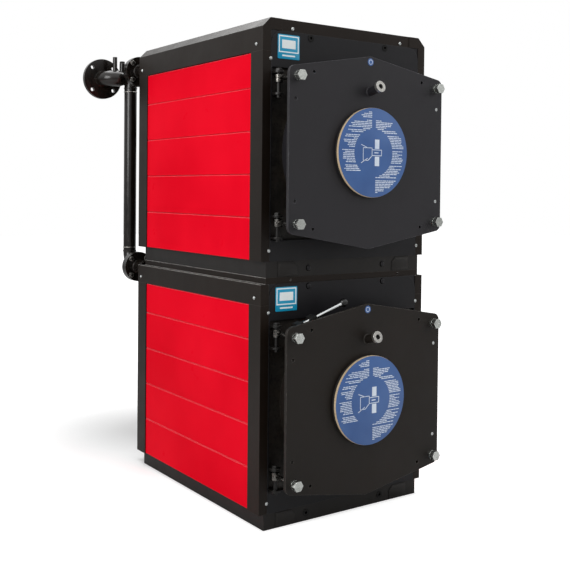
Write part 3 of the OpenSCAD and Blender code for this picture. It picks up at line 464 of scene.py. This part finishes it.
finishOf = {
    "base": baseBlack, "front": frontBlack, "sides": casingBlack, "boards": boardRed, "rear": casingBlack,
    "top": casingBlack, "lower_top": shoulderBlack, "smokebox": casingBlack, "hinges": hingeBlack,
    "body": hotPlate, "tubes": hotPlate, "tube_plate": hotPlate, "nozzles": pipeBlack,
    "door_lining": castLining, "burner_cover": coverBoard, "sight_ring": ringMetal,
    "door_bolts": doorBoltSteel, "rod_holder": rubber, "cleaning_rod": chromeRod,
}
ofEachDoor = {"door": doorBlack, "door_ring": doorBlack, "sight_tube": doorBlack, "door_seal": ropes}


def dressNode(name, obj):
    unit, _, rest = name.partition("_")
    if rest in ofEachDoor:
        mat = ofEachDoor[rest][unit]
    else:
        mat = finishOf.get(name) or finishOf.get(rest) or pipeBlack
    for slot in obj.material_slots:
        slot.material = mat


for nodeName, nodeObject in nodes.items():
    dressNode(nodeName, nodeObject)
print("nodes dressed")


# modelling helpers; round and flat pieces are made along +Z

def clearSelection():
    if bpy.context.object and bpy.context.object.mode != "OBJECT":
        bpy.ops.object.mode_set(mode="OBJECT")
    bpy.ops.object.select_all(action="DESELECT")


def makeActive(obj):
    clearSelection()
    obj.select_set(True)
    bpy.context.view_layer.objects.active = obj


def startPick(kind):
    bpy.ops.object.mode_set(mode="EDIT")
    bpy.ops.mesh.select_mode(type=kind)
    bpy.ops.mesh.select_all(action="DESELECT")
    bpy.ops.object.mode_set(mode="OBJECT")


def pickFaces(obj, test):
    startPick("FACE")
    for face in obj.data.polygons:
        face.select = bool(test(face.center, face.normal))
    bpy.ops.object.mode_set(mode="EDIT")


def pickEdges(obj, test):
    startPick("EDGE")
    points = obj.data.vertices
    for edge in obj.data.edges:
        edge.select = bool(test(points[edge.vertices[0]].co, points[edge.vertices[1]].co))
    bpy.ops.object.mode_set(mode="EDIT")


def pickTop(obj):
    top = max(v.co.z for v in obj.data.vertices)
    pickFaces(obj, lambda p, n: n.z > 0.9 and p.z > top - 1e-6)
    return top


def roundStart(radius, depth, sides, z0=0.0):
    clearSelection()
    middle = (0, 0, z0 + depth / 2)
    bpy.ops.mesh.primitive_cylinder_add(vertices=sides, radius=radius, depth=depth, location=middle)
    bpy.ops.object.transform_apply(location=True, rotation=True, scale=True)
    return bpy.context.object


def boxStart(wide, high, thick, x=0.0, y=0.0):
    clearSelection()
    bpy.ops.mesh.primitive_cube_add(size=1, location=(x, y, thick / 2))
    obj = bpy.context.object
    obj.scale = (wide, high, thick)
    bpy.ops.object.transform_apply(location=True, rotation=True, scale=True)
    return obj


def extrudeTop(obj, rise, shrink):
    pickTop(obj)
    bpy.ops.mesh.inset(thickness=shrink)
    bpy.ops.mesh.extrude_region_move(TRANSFORM_OT_translate={"value": (0, 0, rise)})
    bpy.ops.object.mode_set(mode="OBJECT")


def bevelEdges(obj, width, segments=2, angle=40):
    makeActive(obj)
    mod = obj.modifiers.new("bevel", "BEVEL")
    mod.width = width
    mod.segments = segments
    mod.limit_method = "ANGLE"
    mod.angle_limit = radians(angle)
    bpy.ops.object.modifier_apply(modifier=mod.name)


def joinAll(parts, name):
    clearSelection()
    for part in parts:
        part.select_set(True)
    bpy.context.view_layer.objects.active = parts[0]
    if len(parts) > 1:
        bpy.ops.object.join()
    made = bpy.context.object
    made.name = name
    made.data.name = name
    return made


def turnTo(axis, place, spin=0.0):
    # matrix that takes a piece made along +Z to a place, facing along axis
    turn = Vector(axis).to_track_quat("Z", "Y").to_matrix().to_4x4()
    return Matrix.Translation(place) @ turn @ Matrix.Rotation(spin, 4, "Z")


def layOnFront(obj, y, x, z):
    # from a sheet drawn flat with +Z out of it to the front, with +Z out towards -Y
    obj.data.transform(Matrix.Translation((x, y, z)) @ Matrix.Rotation(radians(90), 4, "X"))


def scatter(master, spots, name):
    copies = []
    for spot in spots:
        copy = bpy.data.objects.new(name, master.data.copy())
        bpy.context.scene.collection.objects.link(copy)
        copy.data.transform(spot)
        copies.append(copy)
    return joinAll(copies, name)


def dropPiece(obj):
    mesh = obj.data
    bpy.data.objects.remove(obj)
    bpy.data.meshes.remove(mesh)


def settle(obj, mat, body, angle=30):
    makeActive(obj)
    if angle:
        bpy.ops.object.shade_smooth_by_angle(angle=radians(angle))
    obj.data.materials.clear()
    obj.data.materials.append(mat)
    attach(obj, body)


# casing screws: a washer face, a domed head and a round socket

casingScrew = {"washerR": 0.0066, "washerT": 0.0012, "headR": 0.0046, "headH": 0.0030, "edge": 0.0004,
               "straight": 0.55, "flat": 0.68, "dome": [(0.3, 0.12), (0.15, 0.2)],  # shares of the head
               "sides": 24, "socketR": 0.0022, "socketD": 0.0018, "spinStep": 0.4, "stripSpin": 0.7,
               "front": [(-0.374, 0.822), (0.374, 0.822), (-0.375, 0.102), (0.375, 0.102)],
               "strip": [(-0.273, 0.942), (0.273, 0.942)],
               "sideY": [0.041, 1.005], "sideZ": 0.877, "halfWidth": 0.410}


def makeScrew(c):
    obj = roundStart(c["washerR"], c["washerT"], c["sides"])
    extrudeTop(obj, c["headH"] * c["straight"], c["washerR"] - c["headR"])
    for up, shrink in c["dome"]:
        extrudeTop(obj, c["headH"] * up, c["headR"] * shrink)
    extrudeTop(obj, -c["socketD"], c["headR"] * c["flat"] - c["socketR"])
    bevelEdges(obj, c["edge"])
    return obj


screw = makeScrew(casingScrew)
for unit, rise in unitRise.items():
    c = casingScrew
    spots = []
    for i, (x, z) in enumerate(c["front"]):
        spots.append(turnTo(toFront, (x, frontFace, z + rise), c["spinStep"] * i))
    if unit == "upper":
        spots += [turnTo(toFront, (x, sheetFace, z + rise), c["stripSpin"]) for x, z in c["strip"]]
    for side in (-1, 1):
        for y in c["sideY"]:
            place = (side * c["halfWidth"], sheetFace + y, c["sideZ"] + rise)
            spots.append(turnTo((side, 0, 0), place, y))
    settle(scatter(screw, spots, unit + "_casing_screws"), brightZinc, "frame")
dropPiece(screw)
print("casing screws placed")


# set screws in the side holes on each door's free edge

setScrew = {"radius": 0.0063, "sides": 24, "sunk": 0.0035, "out": 0.0006, "chamfer": 0.12, "edge": 0.0002,
            "socketR": 0.0024, "socketD": 0.002, "fromEdge": 0.029, "rise": 0.187}


def makeSetScrew(c):
    obj = roundStart(c["radius"], c["sunk"] + c["out"] / 2, c["sides"], -c["sunk"])
    extrudeTop(obj, c["out"] / 2, c["radius"] * c["chamfer"])
    extrudeTop(obj, -c["socketD"], c["radius"] * (1 - c["chamfer"]) - c["socketR"])
    bevelEdges(obj, c["edge"])
    return obj


screw = makeSetScrew(setScrew)
for unit, rise in unitRise.items():
    c = setScrew
    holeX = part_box(unit + "_door")[1].x - c["fromEdge"]
    heights = {up: axisHeight + rise + up * c["rise"] for up in (-1, 1)}
    spots = [turnTo(toFront, (holeX, doorFace, z), up) for up, z in heights.items()]
    settle(scatter(screw, spots, unit + "_set_screws"), brightZinc, unit + "_door")
dropPiece(screw)
print("set screws placed")


# flange bolts: head, washers, nut and a threaded end, through each pair of flanges

flangeBolt = {"headAF": 0.018, "headH": 0.0075, "washerR": 0.012, "washerT": 0.0025, "nutH": 0.010,
              "shankR": 0.006, "sides": 20, "end": 0.007, "pitch": 0.00175, "root": 0.86,
              "stack": 0.036, "circle": 0.110, "count": 4, "firstSpin": 0.3, "spinStep": 0.8,
              # lower and upper, on the left and then on the right
              "pipes": [(-0.372, 0.914), (-0.372, 1.840), (0.372, 0.180), (0.372, 1.134)]}
# hexagons and washers: shares of their height, and the dish's rim of the radius
fastener = {"washerSides": 28, "hexEdge": 0.12, "dish": 0.12, "dishRim": 0.18, "washerEdge": 0.2}


def hexPart(af, height, z0):
    obj = roundStart(af / 2 / cos(pi / 6), height, 6, z0)
    bevelEdges(obj, height * fastener["hexEdge"])
    return obj


def washerPart(radius, thick, z0):
    c = fastener
    obj = roundStart(radius, thick, c["washerSides"], z0)
    extrudeTop(obj, -thick * c["dish"], radius * c["dishRim"])
    bevelEdges(obj, thick * c["washerEdge"])
    return obj


def threadPart(c):
    obj = roundStart(c["shankR"], c["pitch"] / 2, c["sides"])
    grow = 1 / c["root"]
    for turn in range(int(c["end"] / c["pitch"])):
        extrudeTop(obj, c["pitch"] * 0.25, c["shankR"] * (1 - c["root"]))
        top = pickTop(obj)
        bpy.ops.mesh.extrude_region_move(TRANSFORM_OT_translate={"value": (0, 0, c["pitch"] * 0.5)})
        bpy.ops.transform.resize(value=(grow, grow, 1), center_override=(0, 0, top))
        bpy.ops.object.mode_set(mode="OBJECT")
    return obj


def makeFlangeBolt(c):
    half = c["stack"] / 2
    low = -half - c["washerT"] - c["nutH"]
    parts = [washerPart(c["washerR"], c["washerT"], half),
             hexPart(c["headAF"], c["headH"], half + c["washerT"]),
             hexPart(c["headAF"], c["nutH"], low)]
    for made, z in ((washerPart(c["washerR"], c["washerT"], 0), -half), (threadPart(c), low)):
        made.data.transform(Matrix.Translation((0, 0, z)) @ Matrix.Rotation(pi, 4, "X"))
        parts.append(made)
    return joinAll(parts, "flange_bolt")


bolt = makeFlangeBolt(flangeBolt)
spots = []
for x, z in flangeBolt["pipes"]:
    c = flangeBolt
    for k in range(c["count"]):
        a = radians(45 + 360 / c["count"] * k)
        place = (x + c["circle"] / 2 * cos(a), jointY, z + c["circle"] / 2 * sin(a))
        spots.append(turnTo(toFront, place, c["firstSpin"] + c["spinStep"] * k))
settle(scatter(bolt, spots, "flange_bolts"), boltOxide, "frame")
dropPiece(bolt)
print("flange bolts placed")


# burner cover's print: a film disc with rows of plain bars round a plain section sketch

coverPrint = {"radius": 0.1712, "sides": 128, "thick": 0.0010, "edge": 0.0004, "seed": 11,
              "inner": 0.092, "outer": 0.158, "pitch": 0.0064, "bar": 0.0030, "gutter": 0.006,
              "blockRows": 9, "blankRow": 4, "leastRow": 0.02, "leftFrom": -0.075, "rightTo": 0.125,
              "indent": 0.004, "ragged": 0.012, "shortShare": 0.25, "short": (0.3, 0.8),
              "word": (0.007, 0.024), "leastWord": 0.006, "space": 0.0022}
inkThick = 0.00025

# two wall blocks and a burner body with a blast tube through them, in metres from the cover's middle
coverSketch = {"line": 0.0026, "wall": (0.022, 0.036), "wallX": 0.006, "wallZ": 0.033,
               "body": [(-0.052, 0.018), (-0.052, -0.030), (-0.028, -0.030), (-0.008, -0.012),
                        (-0.008, 0.018)],
               "tube": [(-0.008, 0.011, 0.040, 0.011), (-0.008, -0.011, 0.040, -0.011),
                        (0.040, 0.011, 0.040, -0.011)],
               "jet": (0.004, 0.0, 0.024, 0.0), "jetLine": 0.004,
               "air": [(-0.062, 0.030, -0.030, 0.018), (-0.062, -0.040, -0.030, -0.022)]}


def diskPlate(radius, thick, sides, edge):
    obj = roundStart(radius, thick, sides)
    bevelEdges(obj, edge)
    return obj


def inkMesh(name, bars):
    # bars are (x, z, width, height, turn) seen from the front, made as one mesh of low boxes
    master = boxStart(1, 1, 1, 0.5)
    spots = []
    for x, z, width, height, turn in bars:
        size = Matrix.Diagonal((width, height, inkThick, 1))
        spots.append(Matrix.Translation((x, z, 0)) @ Matrix.Rotation(turn, 4, "Z") @ size)
    made = scatter(master, spots, name)
    dropPiece(master)
    return made


def printedLines(c):
    dice = random.Random(c["seed"])
    bars = []
    for row in range(int(2 * c["outer"] / c["pitch"])):
        z = c["outer"] - (row + 0.5) * c["pitch"]
        wide = sqrt(max(c["outer"] ** 2 - z * z, 0))
        hole = sqrt(max(c["inner"] ** 2 - z * z, 0)) if abs(z) < c["inner"] else c["gutter"]
        if row % c["blockRows"] == c["blankRow"] or wide - hole < c["leastRow"]:
            continue
        for side in (-1, 1):
            if (side < 0 and z < c["leftFrom"]) or (side > 0 and z > c["rightTo"]):
                continue
            start = hole + c["indent"]
            stop = wide - dice.uniform(0.0, c["ragged"])
            reach = stop
            if dice.random() <= c["shortShare"]:
                reach = start + (stop - start) * dice.uniform(*c["short"])
            x = start
            while x < reach - c["leastWord"]:
                length = min(dice.uniform(*c["word"]), reach - x)
                bars.append((x if side > 0 else -x - length, z, length, c["bar"], 0.0))
                x += length + c["space"]
    return bars


def strokeBar(x0, z0, x1, z1, width):
    return (x0, z0, hypot(x1 - x0, z1 - z0), width, atan2(z1 - z0, x1 - x0))


def sectionSketch(c):
    bars = [(c["wallX"], z, *c["wall"], 0) for z in (c["wallZ"], -c["wallZ"])]
    loop = zip(c["body"], c["body"][1:] + c["body"][:1])
    bars += [strokeBar(*a, *b, c["line"]) for a, b in loop]
    bars += [strokeBar(*ends, c["line"]) for ends in c["tube"]]
    bars.append(strokeBar(*c["jet"], c["jetLine"]))
    return bars + [strokeBar(*ends, c["line"]) for ends in c["air"]]


for unit, rise in unitRise.items():
    c = coverPrint
    disc = diskPlate(c["radius"], c["thick"], c["sides"], c["edge"])
    disc.name = unit + "_cover_film"
    layOnFront(disc, coverFace, 0, axisHeight + rise)
    settle(disc, blueFilm, unit + "_door")
    ink = inkMesh(unit + "_cover_print", printedLines(c) + sectionSketch(coverSketch))
    layOnFront(ink, coverFace - c["thick"], 0, axisHeight + rise)
    settle(ink, paleInk, unit + "_door", 0)
print("cover prints placed")


# round sticker at the top of each door: a plain disc with a pale ring

sticker = {"radius": 0.0145, "sides": 40, "thick": 0.0006, "edge": 0.0002,
           "ringR": 0.0095, "ringW": 0.0018, "ringT": 0.0003, "z": 0.826}


def makeRing(radius, width, thick, sides):
    obj = roundStart(radius, thick, sides)
    pickFaces(obj, lambda p, n: abs(n.z) > 0.9)
    bpy.ops.mesh.inset(thickness=width)
    bpy.ops.object.mode_set(mode="OBJECT")
    pickFaces(obj, lambda p, n: abs(n.z) > 0.9 and hypot(p.x, p.y) < 1e-5)
    bpy.ops.mesh.bridge_edge_loops()
    bpy.ops.object.mode_set(mode="OBJECT")
    return obj


for unit, rise in unitRise.items():
    c = sticker
    disc = diskPlate(c["radius"], c["thick"], c["sides"], c["edge"])
    disc.name = unit + "_door_sticker"
    layOnFront(disc, doorFace, 0, c["z"] + rise)
    settle(disc, blueFilm, unit + "_door")
    ring = makeRing(c["ringR"], c["ringW"], c["ringT"], c["sides"])
    ring.name = unit + "_sticker_ring"
    layOnFront(ring, doorFace - c["thick"], 0, c["z"] + rise)
    settle(ring, paleInk, unit + "_door", 0)
print("stickers placed")


# name plate: a blank enamel plate with a ruled frame round a plain panel, and a ruled foot

namePlate = {"left": -0.343, "right": -0.243, "low": 0.825, "high": 0.917, "thick": 0.0015, "corner": 0.004,
             "margin": 0.004, "rule": 0.0045, "foot": 0.024, "panelW": 0.68, "panelH": 0.5,
             "footW": 0.64, "footZ": 0.0125, "footH": 0.006, "cornerSteps": 5, "edge": 0.0003, "edgeAngle": 50}


def roundedSheet(c, width, height):
    obj = boxStart(width, height, c["thick"])
    pickEdges(obj, lambda a, b: abs(a.z - b.z) > c["thick"] / 2)
    bpy.ops.mesh.bevel(offset=c["corner"], segments=c["cornerSteps"], affect="EDGES")
    bpy.ops.object.mode_set(mode="OBJECT")
    bevelEdges(obj, c["edge"], angle=c["edgeAngle"])
    return obj


def plateRules(c, wide, high):
    inner, rule = wide - 2 * c["margin"], c["rule"]
    top, foot = high / 2 - c["margin"], -high / 2 + c["foot"]
    middle, tall = (top + foot) / 2, top - foot
    return [(-inner / 2, top - rule / 2, inner, rule, 0),
            (-inner / 2, foot + rule / 2, inner, rule, 0),
            (-inner / 2, middle, rule, tall - 2 * rule, 0),
            (inner / 2 - rule, middle, rule, tall - 2 * rule, 0),
            (-inner * c["panelW"] / 2, middle, inner * c["panelW"], tall * c["panelH"], 0),
            (-inner * c["footW"] / 2, -high / 2 + c["footZ"], inner * c["footW"], c["footH"], 0)]


for unit, rise in unitRise.items():
    c = namePlate
    wide, high = c["right"] - c["left"], c["high"] - c["low"]
    midX, midZ = (c["left"] + c["right"]) / 2, (c["low"] + c["high"]) / 2 + rise
    plate = roundedSheet(c, wide, high)
    plate.name = unit + "_name_plate"
    layOnFront(plate, frontFace, midX, midZ)
    settle(plate, tealFilm, "frame")
    rules = inkMesh(unit + "_plate_rules", plateRules(c, wide, high))
    layOnFront(rules, frontFace - c["thick"], midX, midZ)
    settle(rules, whiteFilm, "frame", 0)
print("name plates placed")


# fork pocket covers on the bases: thin plates with a cut corner, over black rubber sheets on the channel's
# front whose rim is a painted shadow line

pocketCover = {"inner": 0.240, "outer": 0.332, "low": 0.003, "high": 0.057, "cut": 0.02, "thick": 0.0012,
               "rim": 0.006, "padH": 0.0007, "edge": 0.0003, "shadeSheetT": 0.0008, "shadeSheetShows": 0.0014}


def cutSheet(c, grow, thick):
    wide, high = c["outer"] - c["inner"] + 2 * grow, c["high"] - c["low"] + 2 * grow
    obj = boxStart(wide, high, thick, wide / 2 - grow, high / 2 - grow)
    pickEdges(obj, lambda a, b: abs(a.z - b.z) > thick / 2 and a.x < 1e-6 and a.y > high / 2)
    bpy.ops.mesh.bevel(offset=c["cut"], segments=1, affect="EDGES")
    bpy.ops.object.mode_set(mode="OBJECT")
    return obj


def makePocket(c):
    obj = cutSheet(c, 0, c["thick"])
    extrudeTop(obj, c["padH"], c["rim"])
    bevelEdges(obj, c["edge"], angle=30)
    return obj


for unit, rise in unitRise.items():
    c = pocketCover
    covers, shadeSheets = [], []
    for side in (1, -1):
        shadeSheets.append(cutSheet(c, c["shadeSheetShows"], c["shadeSheetT"]))
        covers.append(makePocket(c))
        for sheet, out in ((shadeSheets[-1], 0), (covers[-1], c["shadeSheetT"])):
            if side < 0:
                sheet.data.transform(Matrix.Scale(-1, 4, (1, 0, 0)))
                sheet.data.flip_normals()
            layOnFront(sheet, baseFace - out, side * c["inner"], c["low"] + rise)
    settle(joinAll(covers, unit + "_pocket_covers"), baseBlack, "frame")
    # the black sheets, a little larger than the covers, are painted shadow in the gap round each cover
    settle(joinAll(shadeSheets, unit + "_pocket_shade_sheets"), rubber, "frame")
print("pocket covers placed")


# what sits in the front's holes: bored rubber grommets, and steel plugs that lean to one side of theirs

holeFill = {"x": 0.188, "z": 0.915, "baseZ": 0.031, "sides": 40,
            "lipR": 0.0142, "lipT": 0.0018, "lipRound": 0.35, "bore": 0.0052,
            "plugR": 0.0095, "plugIn": 0.003, "plugOut": 0.0014, "edge": 0.0003, "aside": 0.0025,
            "wall": 0.6, "dome": [(0.3, 0.1), (0.1, 0.3)]}  # shares of what stands out and of the radius


def makeGrommet(c):
    obj = makeRing(c["lipR"], c["lipR"] - c["bore"], c["lipT"], c["sides"])
    bevelEdges(obj, c["lipT"] * c["lipRound"], 3)
    return obj


def makeBlindPlug(c):
    obj = roundStart(c["plugR"], c["plugIn"] + c["plugOut"] * c["wall"], c["sides"], -c["plugIn"])
    for up, shrink in c["dome"]:
        extrudeTop(obj, c["plugOut"] * up, c["plugR"] * shrink)
    bevelEdges(obj, c["edge"])
    return obj


grommet, blind = makeGrommet(holeFill), makeBlindPlug(holeFill)
for unit, rise in unitRise.items():
    c = holeFill
    high, low = (frontFace, c["z"] + rise), (baseFace, c["baseZ"] + rise)
    bored, plugged = (low, high) if unit == "lower" else (high, low)
    spots = [turnTo(toFront, (side * c["x"], *bored)) for side in (-1, 1)]
    settle(scatter(grommet, spots, unit + "_hole_grommets"), rubber, "frame")
    spots = [turnTo(toFront, (side * c["x"] + c["aside"], *plugged)) for side in (-1, 1)]
    settle(scatter(blind, spots, unit + "_hole_plugs"), frontBlack, "frame")
dropPiece(grommet)
dropPiece(blind)
print("holes filled")


# sight glasses in the ring nuts: low lenses

sightGlass = {"radius": 0.0099, "sides": 40, "thick": 0.003, "steps": [(0.0006, 0.25), (0.0002, 0.3)],
              "edge": 0.0003, "sunk": 0.009, "reach": 0.064, "z": 0.234, "tilt": 15}
tilt = radians(sightGlass["tilt"])
sightAxis = Vector((0, -cos(tilt), sin(tilt)))
for unit, rise in unitRise.items():
    c = sightGlass
    glass = roundStart(c["radius"], c["thick"], c["sides"])
    for up, shrink in c["steps"]:
        extrudeTop(glass, up, c["radius"] * shrink)
    bevelEdges(glass, c["edge"])
    foot = Vector((0, doorFace, axisHeight + c["z"] + rise))
    glass.data.transform(turnTo(sightAxis, foot + sightAxis * (c["reach"] - c["sunk"] - c["thick"])))
    glass.name = unit + "_sight_glass"
    settle(glass, smokedGlass, unit + "_door", 40)
print("sight glasses placed")


# weld beads: rippled rings where tubes meet plates, and finer ones on the risers' elbows

weldBead = {"thick": 0.0026, "ripple": 0.0007, "ring": 84, "section": 8, "every": 3,
            "sightR": 0.0172, "neckR": 0.0304, "flangeT": 0.018,
            "flueR": 0.1004, "flueUp": 0.130, "spigot": 0.090}
riserWeld = {"thick": 0.0016, "ripple": 0.0004, "ring": 84, "section": 8, "every": 3,
             "radius": 0.0304, "elbow": 0.088}


def makeWeld(radius, c, stretch=1.0):
    clearSelection()
    bpy.ops.mesh.primitive_torus_add(major_radius=radius, minor_radius=c["thick"],
                                     major_segments=c["ring"], minor_segments=c["section"])
    obj = bpy.context.object
    step = 2 * pi / c["ring"]
    startPick("VERT")
    for v in obj.data.vertices:
        v.select = round(atan2(v.co.y, v.co.x) / step) % c["every"] == 0
    bpy.ops.object.mode_set(mode="EDIT")
    bpy.ops.transform.shrink_fatten(value=c["ripple"])
    bpy.ops.object.mode_set(mode="OBJECT")
    if stretch != 1.0:
        obj.data.transform(Matrix.Diagonal((1, stretch, 1, 1)))
    return obj


for unit, rise in unitRise.items():
    bead = makeWeld(weldBead["sightR"], weldBead, 1 / cos(tilt))  # a tilted tube meets the door in an oval
    layOnFront(bead, doorFace, 0, axisHeight + sightGlass["z"] + rise)
    bead.name = unit + "_sight_weld"
    settle(bead, doorBlack[unit], unit + "_door", 60)

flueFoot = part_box("lower_smokebox")[1].y - weldBead["spigot"]  # the spigot stands out of the smokebox's back
flueBeads = []
for rise in unitRise.values():
    bead = makeWeld(weldBead["flueR"], weldBead)
    layOnFront(bead, flueFoot, 0, axisHeight + weldBead["flueUp"] + rise)
    flueBeads.append(bead)
settle(joinAll(flueBeads, "flue_welds"), casingBlack, "frame", 60)

riserY = (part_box("flow_riser")[0].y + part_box("flow_riser")[1].y) / 2
neckBeads, riserBeads = [], []
for i, (x, z) in enumerate(flangeBolt["pipes"]):
    for y in (jointY - weldBead["flangeT"], jointY + weldBead["flangeT"]):
        bead = makeWeld(weldBead["neckR"], weldBead)
        layOnFront(bead, y, x, z)
        neckBeads.append(bead)
    up = 1 if i % 2 == 0 else -1  # the lower elbows turn up, the upper ones down
    bead = makeWeld(riserWeld["radius"], riserWeld)
    bead.data.transform(Matrix.Translation((x, riserY, z + up * riserWeld["elbow"])))
    riserBeads.append(bead)
settle(joinAll(neckBeads, "nozzle_welds"), pipeBlack, "frame", 60)
settle(joinAll(riserBeads, "riser_welds"), groundWeld, "frame", 60)
print("weld beads placed")


# plug in the branch's socket: a hexagon over a collar

socketPlug = {"x": -0.4165, "top": 1.884, "af": 0.022, "hexH": 0.009, "collarR": 0.0128, "collarH": 0.003}


def makePlug(c):
    collar = washerPart(c["collarR"], c["collarH"], 0)
    head = hexPart(c["af"], c["hexH"], c["collarH"] * (1 - fastener["dish"]))
    return joinAll([collar, head], "branch_plug")


plug = makePlug(socketPlug)
plug.data.transform(Matrix.Translation((socketPlug["x"], riserY, socketPlug["top"])))
settle(plug, pipeBlack, "frame")
print("branch plug placed")


# stage and light

studio = {"floorSize": 40, "floorZ": -0.0005, "tones": ("#D8D8D8", "#DCDCDC"),
          "shadowAt": (-0.04, 1.0, 0), "underX": (0.36, 0.40), "underY": (0.50, 0.56),
          "near": (0.15, 0.85, 0.02, 0.6), "far": (0.8, 2.6, 0.0, 0.36),  # two distances, two strengths
          "ceiling": (-0.05, 0.6, 0.46, 1.25), "ambient": 0.42, "white": (1, 1, 1, 1)}
lamps = {
    "left_box": {"at": (-4.2, -1.2, 2.6), "aim": (0, 0, 0.9), "size": 2.4, "watts": 92, "mirrored": True},
    "right_box": {"at": (3.8, -3.6, 2.8), "aim": (0, 0, 0.9), "size": 2.0, "watts": 110, "mirrored": False},
    "top_box": {"at": (0.3, 1.2, 4.2), "aim": (0, 0, 0), "size": 3.0, "watts": 90, "mirrored": True},
}


def makeStage(c):
    clearSelection()
    bpy.ops.mesh.primitive_plane_add(size=c["floorSize"], location=(0, 0, c["floorZ"]))
    floor = bpy.context.object
    floor.name = "studio_floor"
    mat, tree, shader, place = newFinish("pale studio floor", "#DADADA", 0.9, 0.0, 0.0)
    clouds = patches(tree, place, 600, 3, 0.55, 0.3, 0.7)
    coat(shader, addNode(tree, "Mix", [clouds, *c["tones"]], data_type="RGBA"))
    away = addNode(tree, "VectorMath", [place, c["shadowAt"]], operation="DISTANCE")
    near = addNode(tree, "MapRange", [away, *c["near"]])
    far = addNode(tree, "MapRange", [away, *c["far"]])
    lift = addNode(tree, "Math", [near, far], operation="ADD")  # white, but for the lamp's shadow at the back
    parts = addNode(tree, "SeparateXYZ", [place]).outputs
    past = []
    for side, ends in (("X", c["underX"]), ("Y", c["underY"])):
        off = addNode(tree, "Math", [parts[side]], operation="ABSOLUTE")
        past.append(addNode(tree, "MapRange", [off, *ends]))
    outside = addNode(tree, "Math", past, operation="MAXIMUM")  # dark under the bases
    lift = addNode(tree, "Math", [lift, outside], operation="MULTIPLY")
    seen = addNode(tree, "LightPath").outputs["Is Camera Ray"]
    feed(shader.inputs["Emission Strength"], addNode(tree, "Math", [seen, lift], operation="MULTIPLY"))
    feed(shader.inputs["Emission Color"], c["white"])
    floor.data.materials.append(mat)


def makeWorld(c):
    world = bpy.data.worlds.new("studio")
    bpy.context.scene.world = world
    world.use_nodes = True
    tree = world.node_tree
    back = tree.nodes["Background"]
    path = addNode(tree, "LightPath").outputs
    direct = addNode(tree, "Math", [path["Is Camera Ray"], path["Is Transmission Ray"]], operation="MAXIMUM")
    height = addNode(tree, "SeparateXYZ", [addNode(tree, "TexCoord").outputs["Generated"]]).outputs["Z"]
    ceiling = addNode(tree, "MapRange", [height, *c["ceiling"]])  # dim walls and a bright ceiling
    soft = addNode(tree, "Mix", [path["Is Glossy Ray"], c["ambient"], ceiling], data_type="FLOAT")
    feed(back.inputs["Color"], c["white"])
    feed(back.inputs["Strength"], addNode(tree, "Mix", [direct, soft, 1.0], data_type="FLOAT"))


def softBox(name, c):
    data = bpy.data.lights.new(name, "AREA")
    data.shape = "RECTANGLE"
    data.size = data.size_y = c["size"]
    data.energy = c["watts"]
    lamp = bpy.data.objects.new(name, data)
    bpy.context.scene.collection.objects.link(lamp)
    lamp.location = c["at"]
    lamp.rotation_mode = "QUATERNION"
    lamp.rotation_quaternion = (Vector(c["aim"]) - Vector(c["at"])).to_track_quat("-Z", "Y")
    lamp.visible_glossy = c["mirrored"]  # the zinc shows the ceiling and not the right lamp


makeStage(studio)
makeWorld(studio)
for lampName, lampFacts in lamps.items():
    softBox(lampName, lampFacts)
bpy.context.scene.view_settings.view_transform = "Standard"
print("stage and light set")
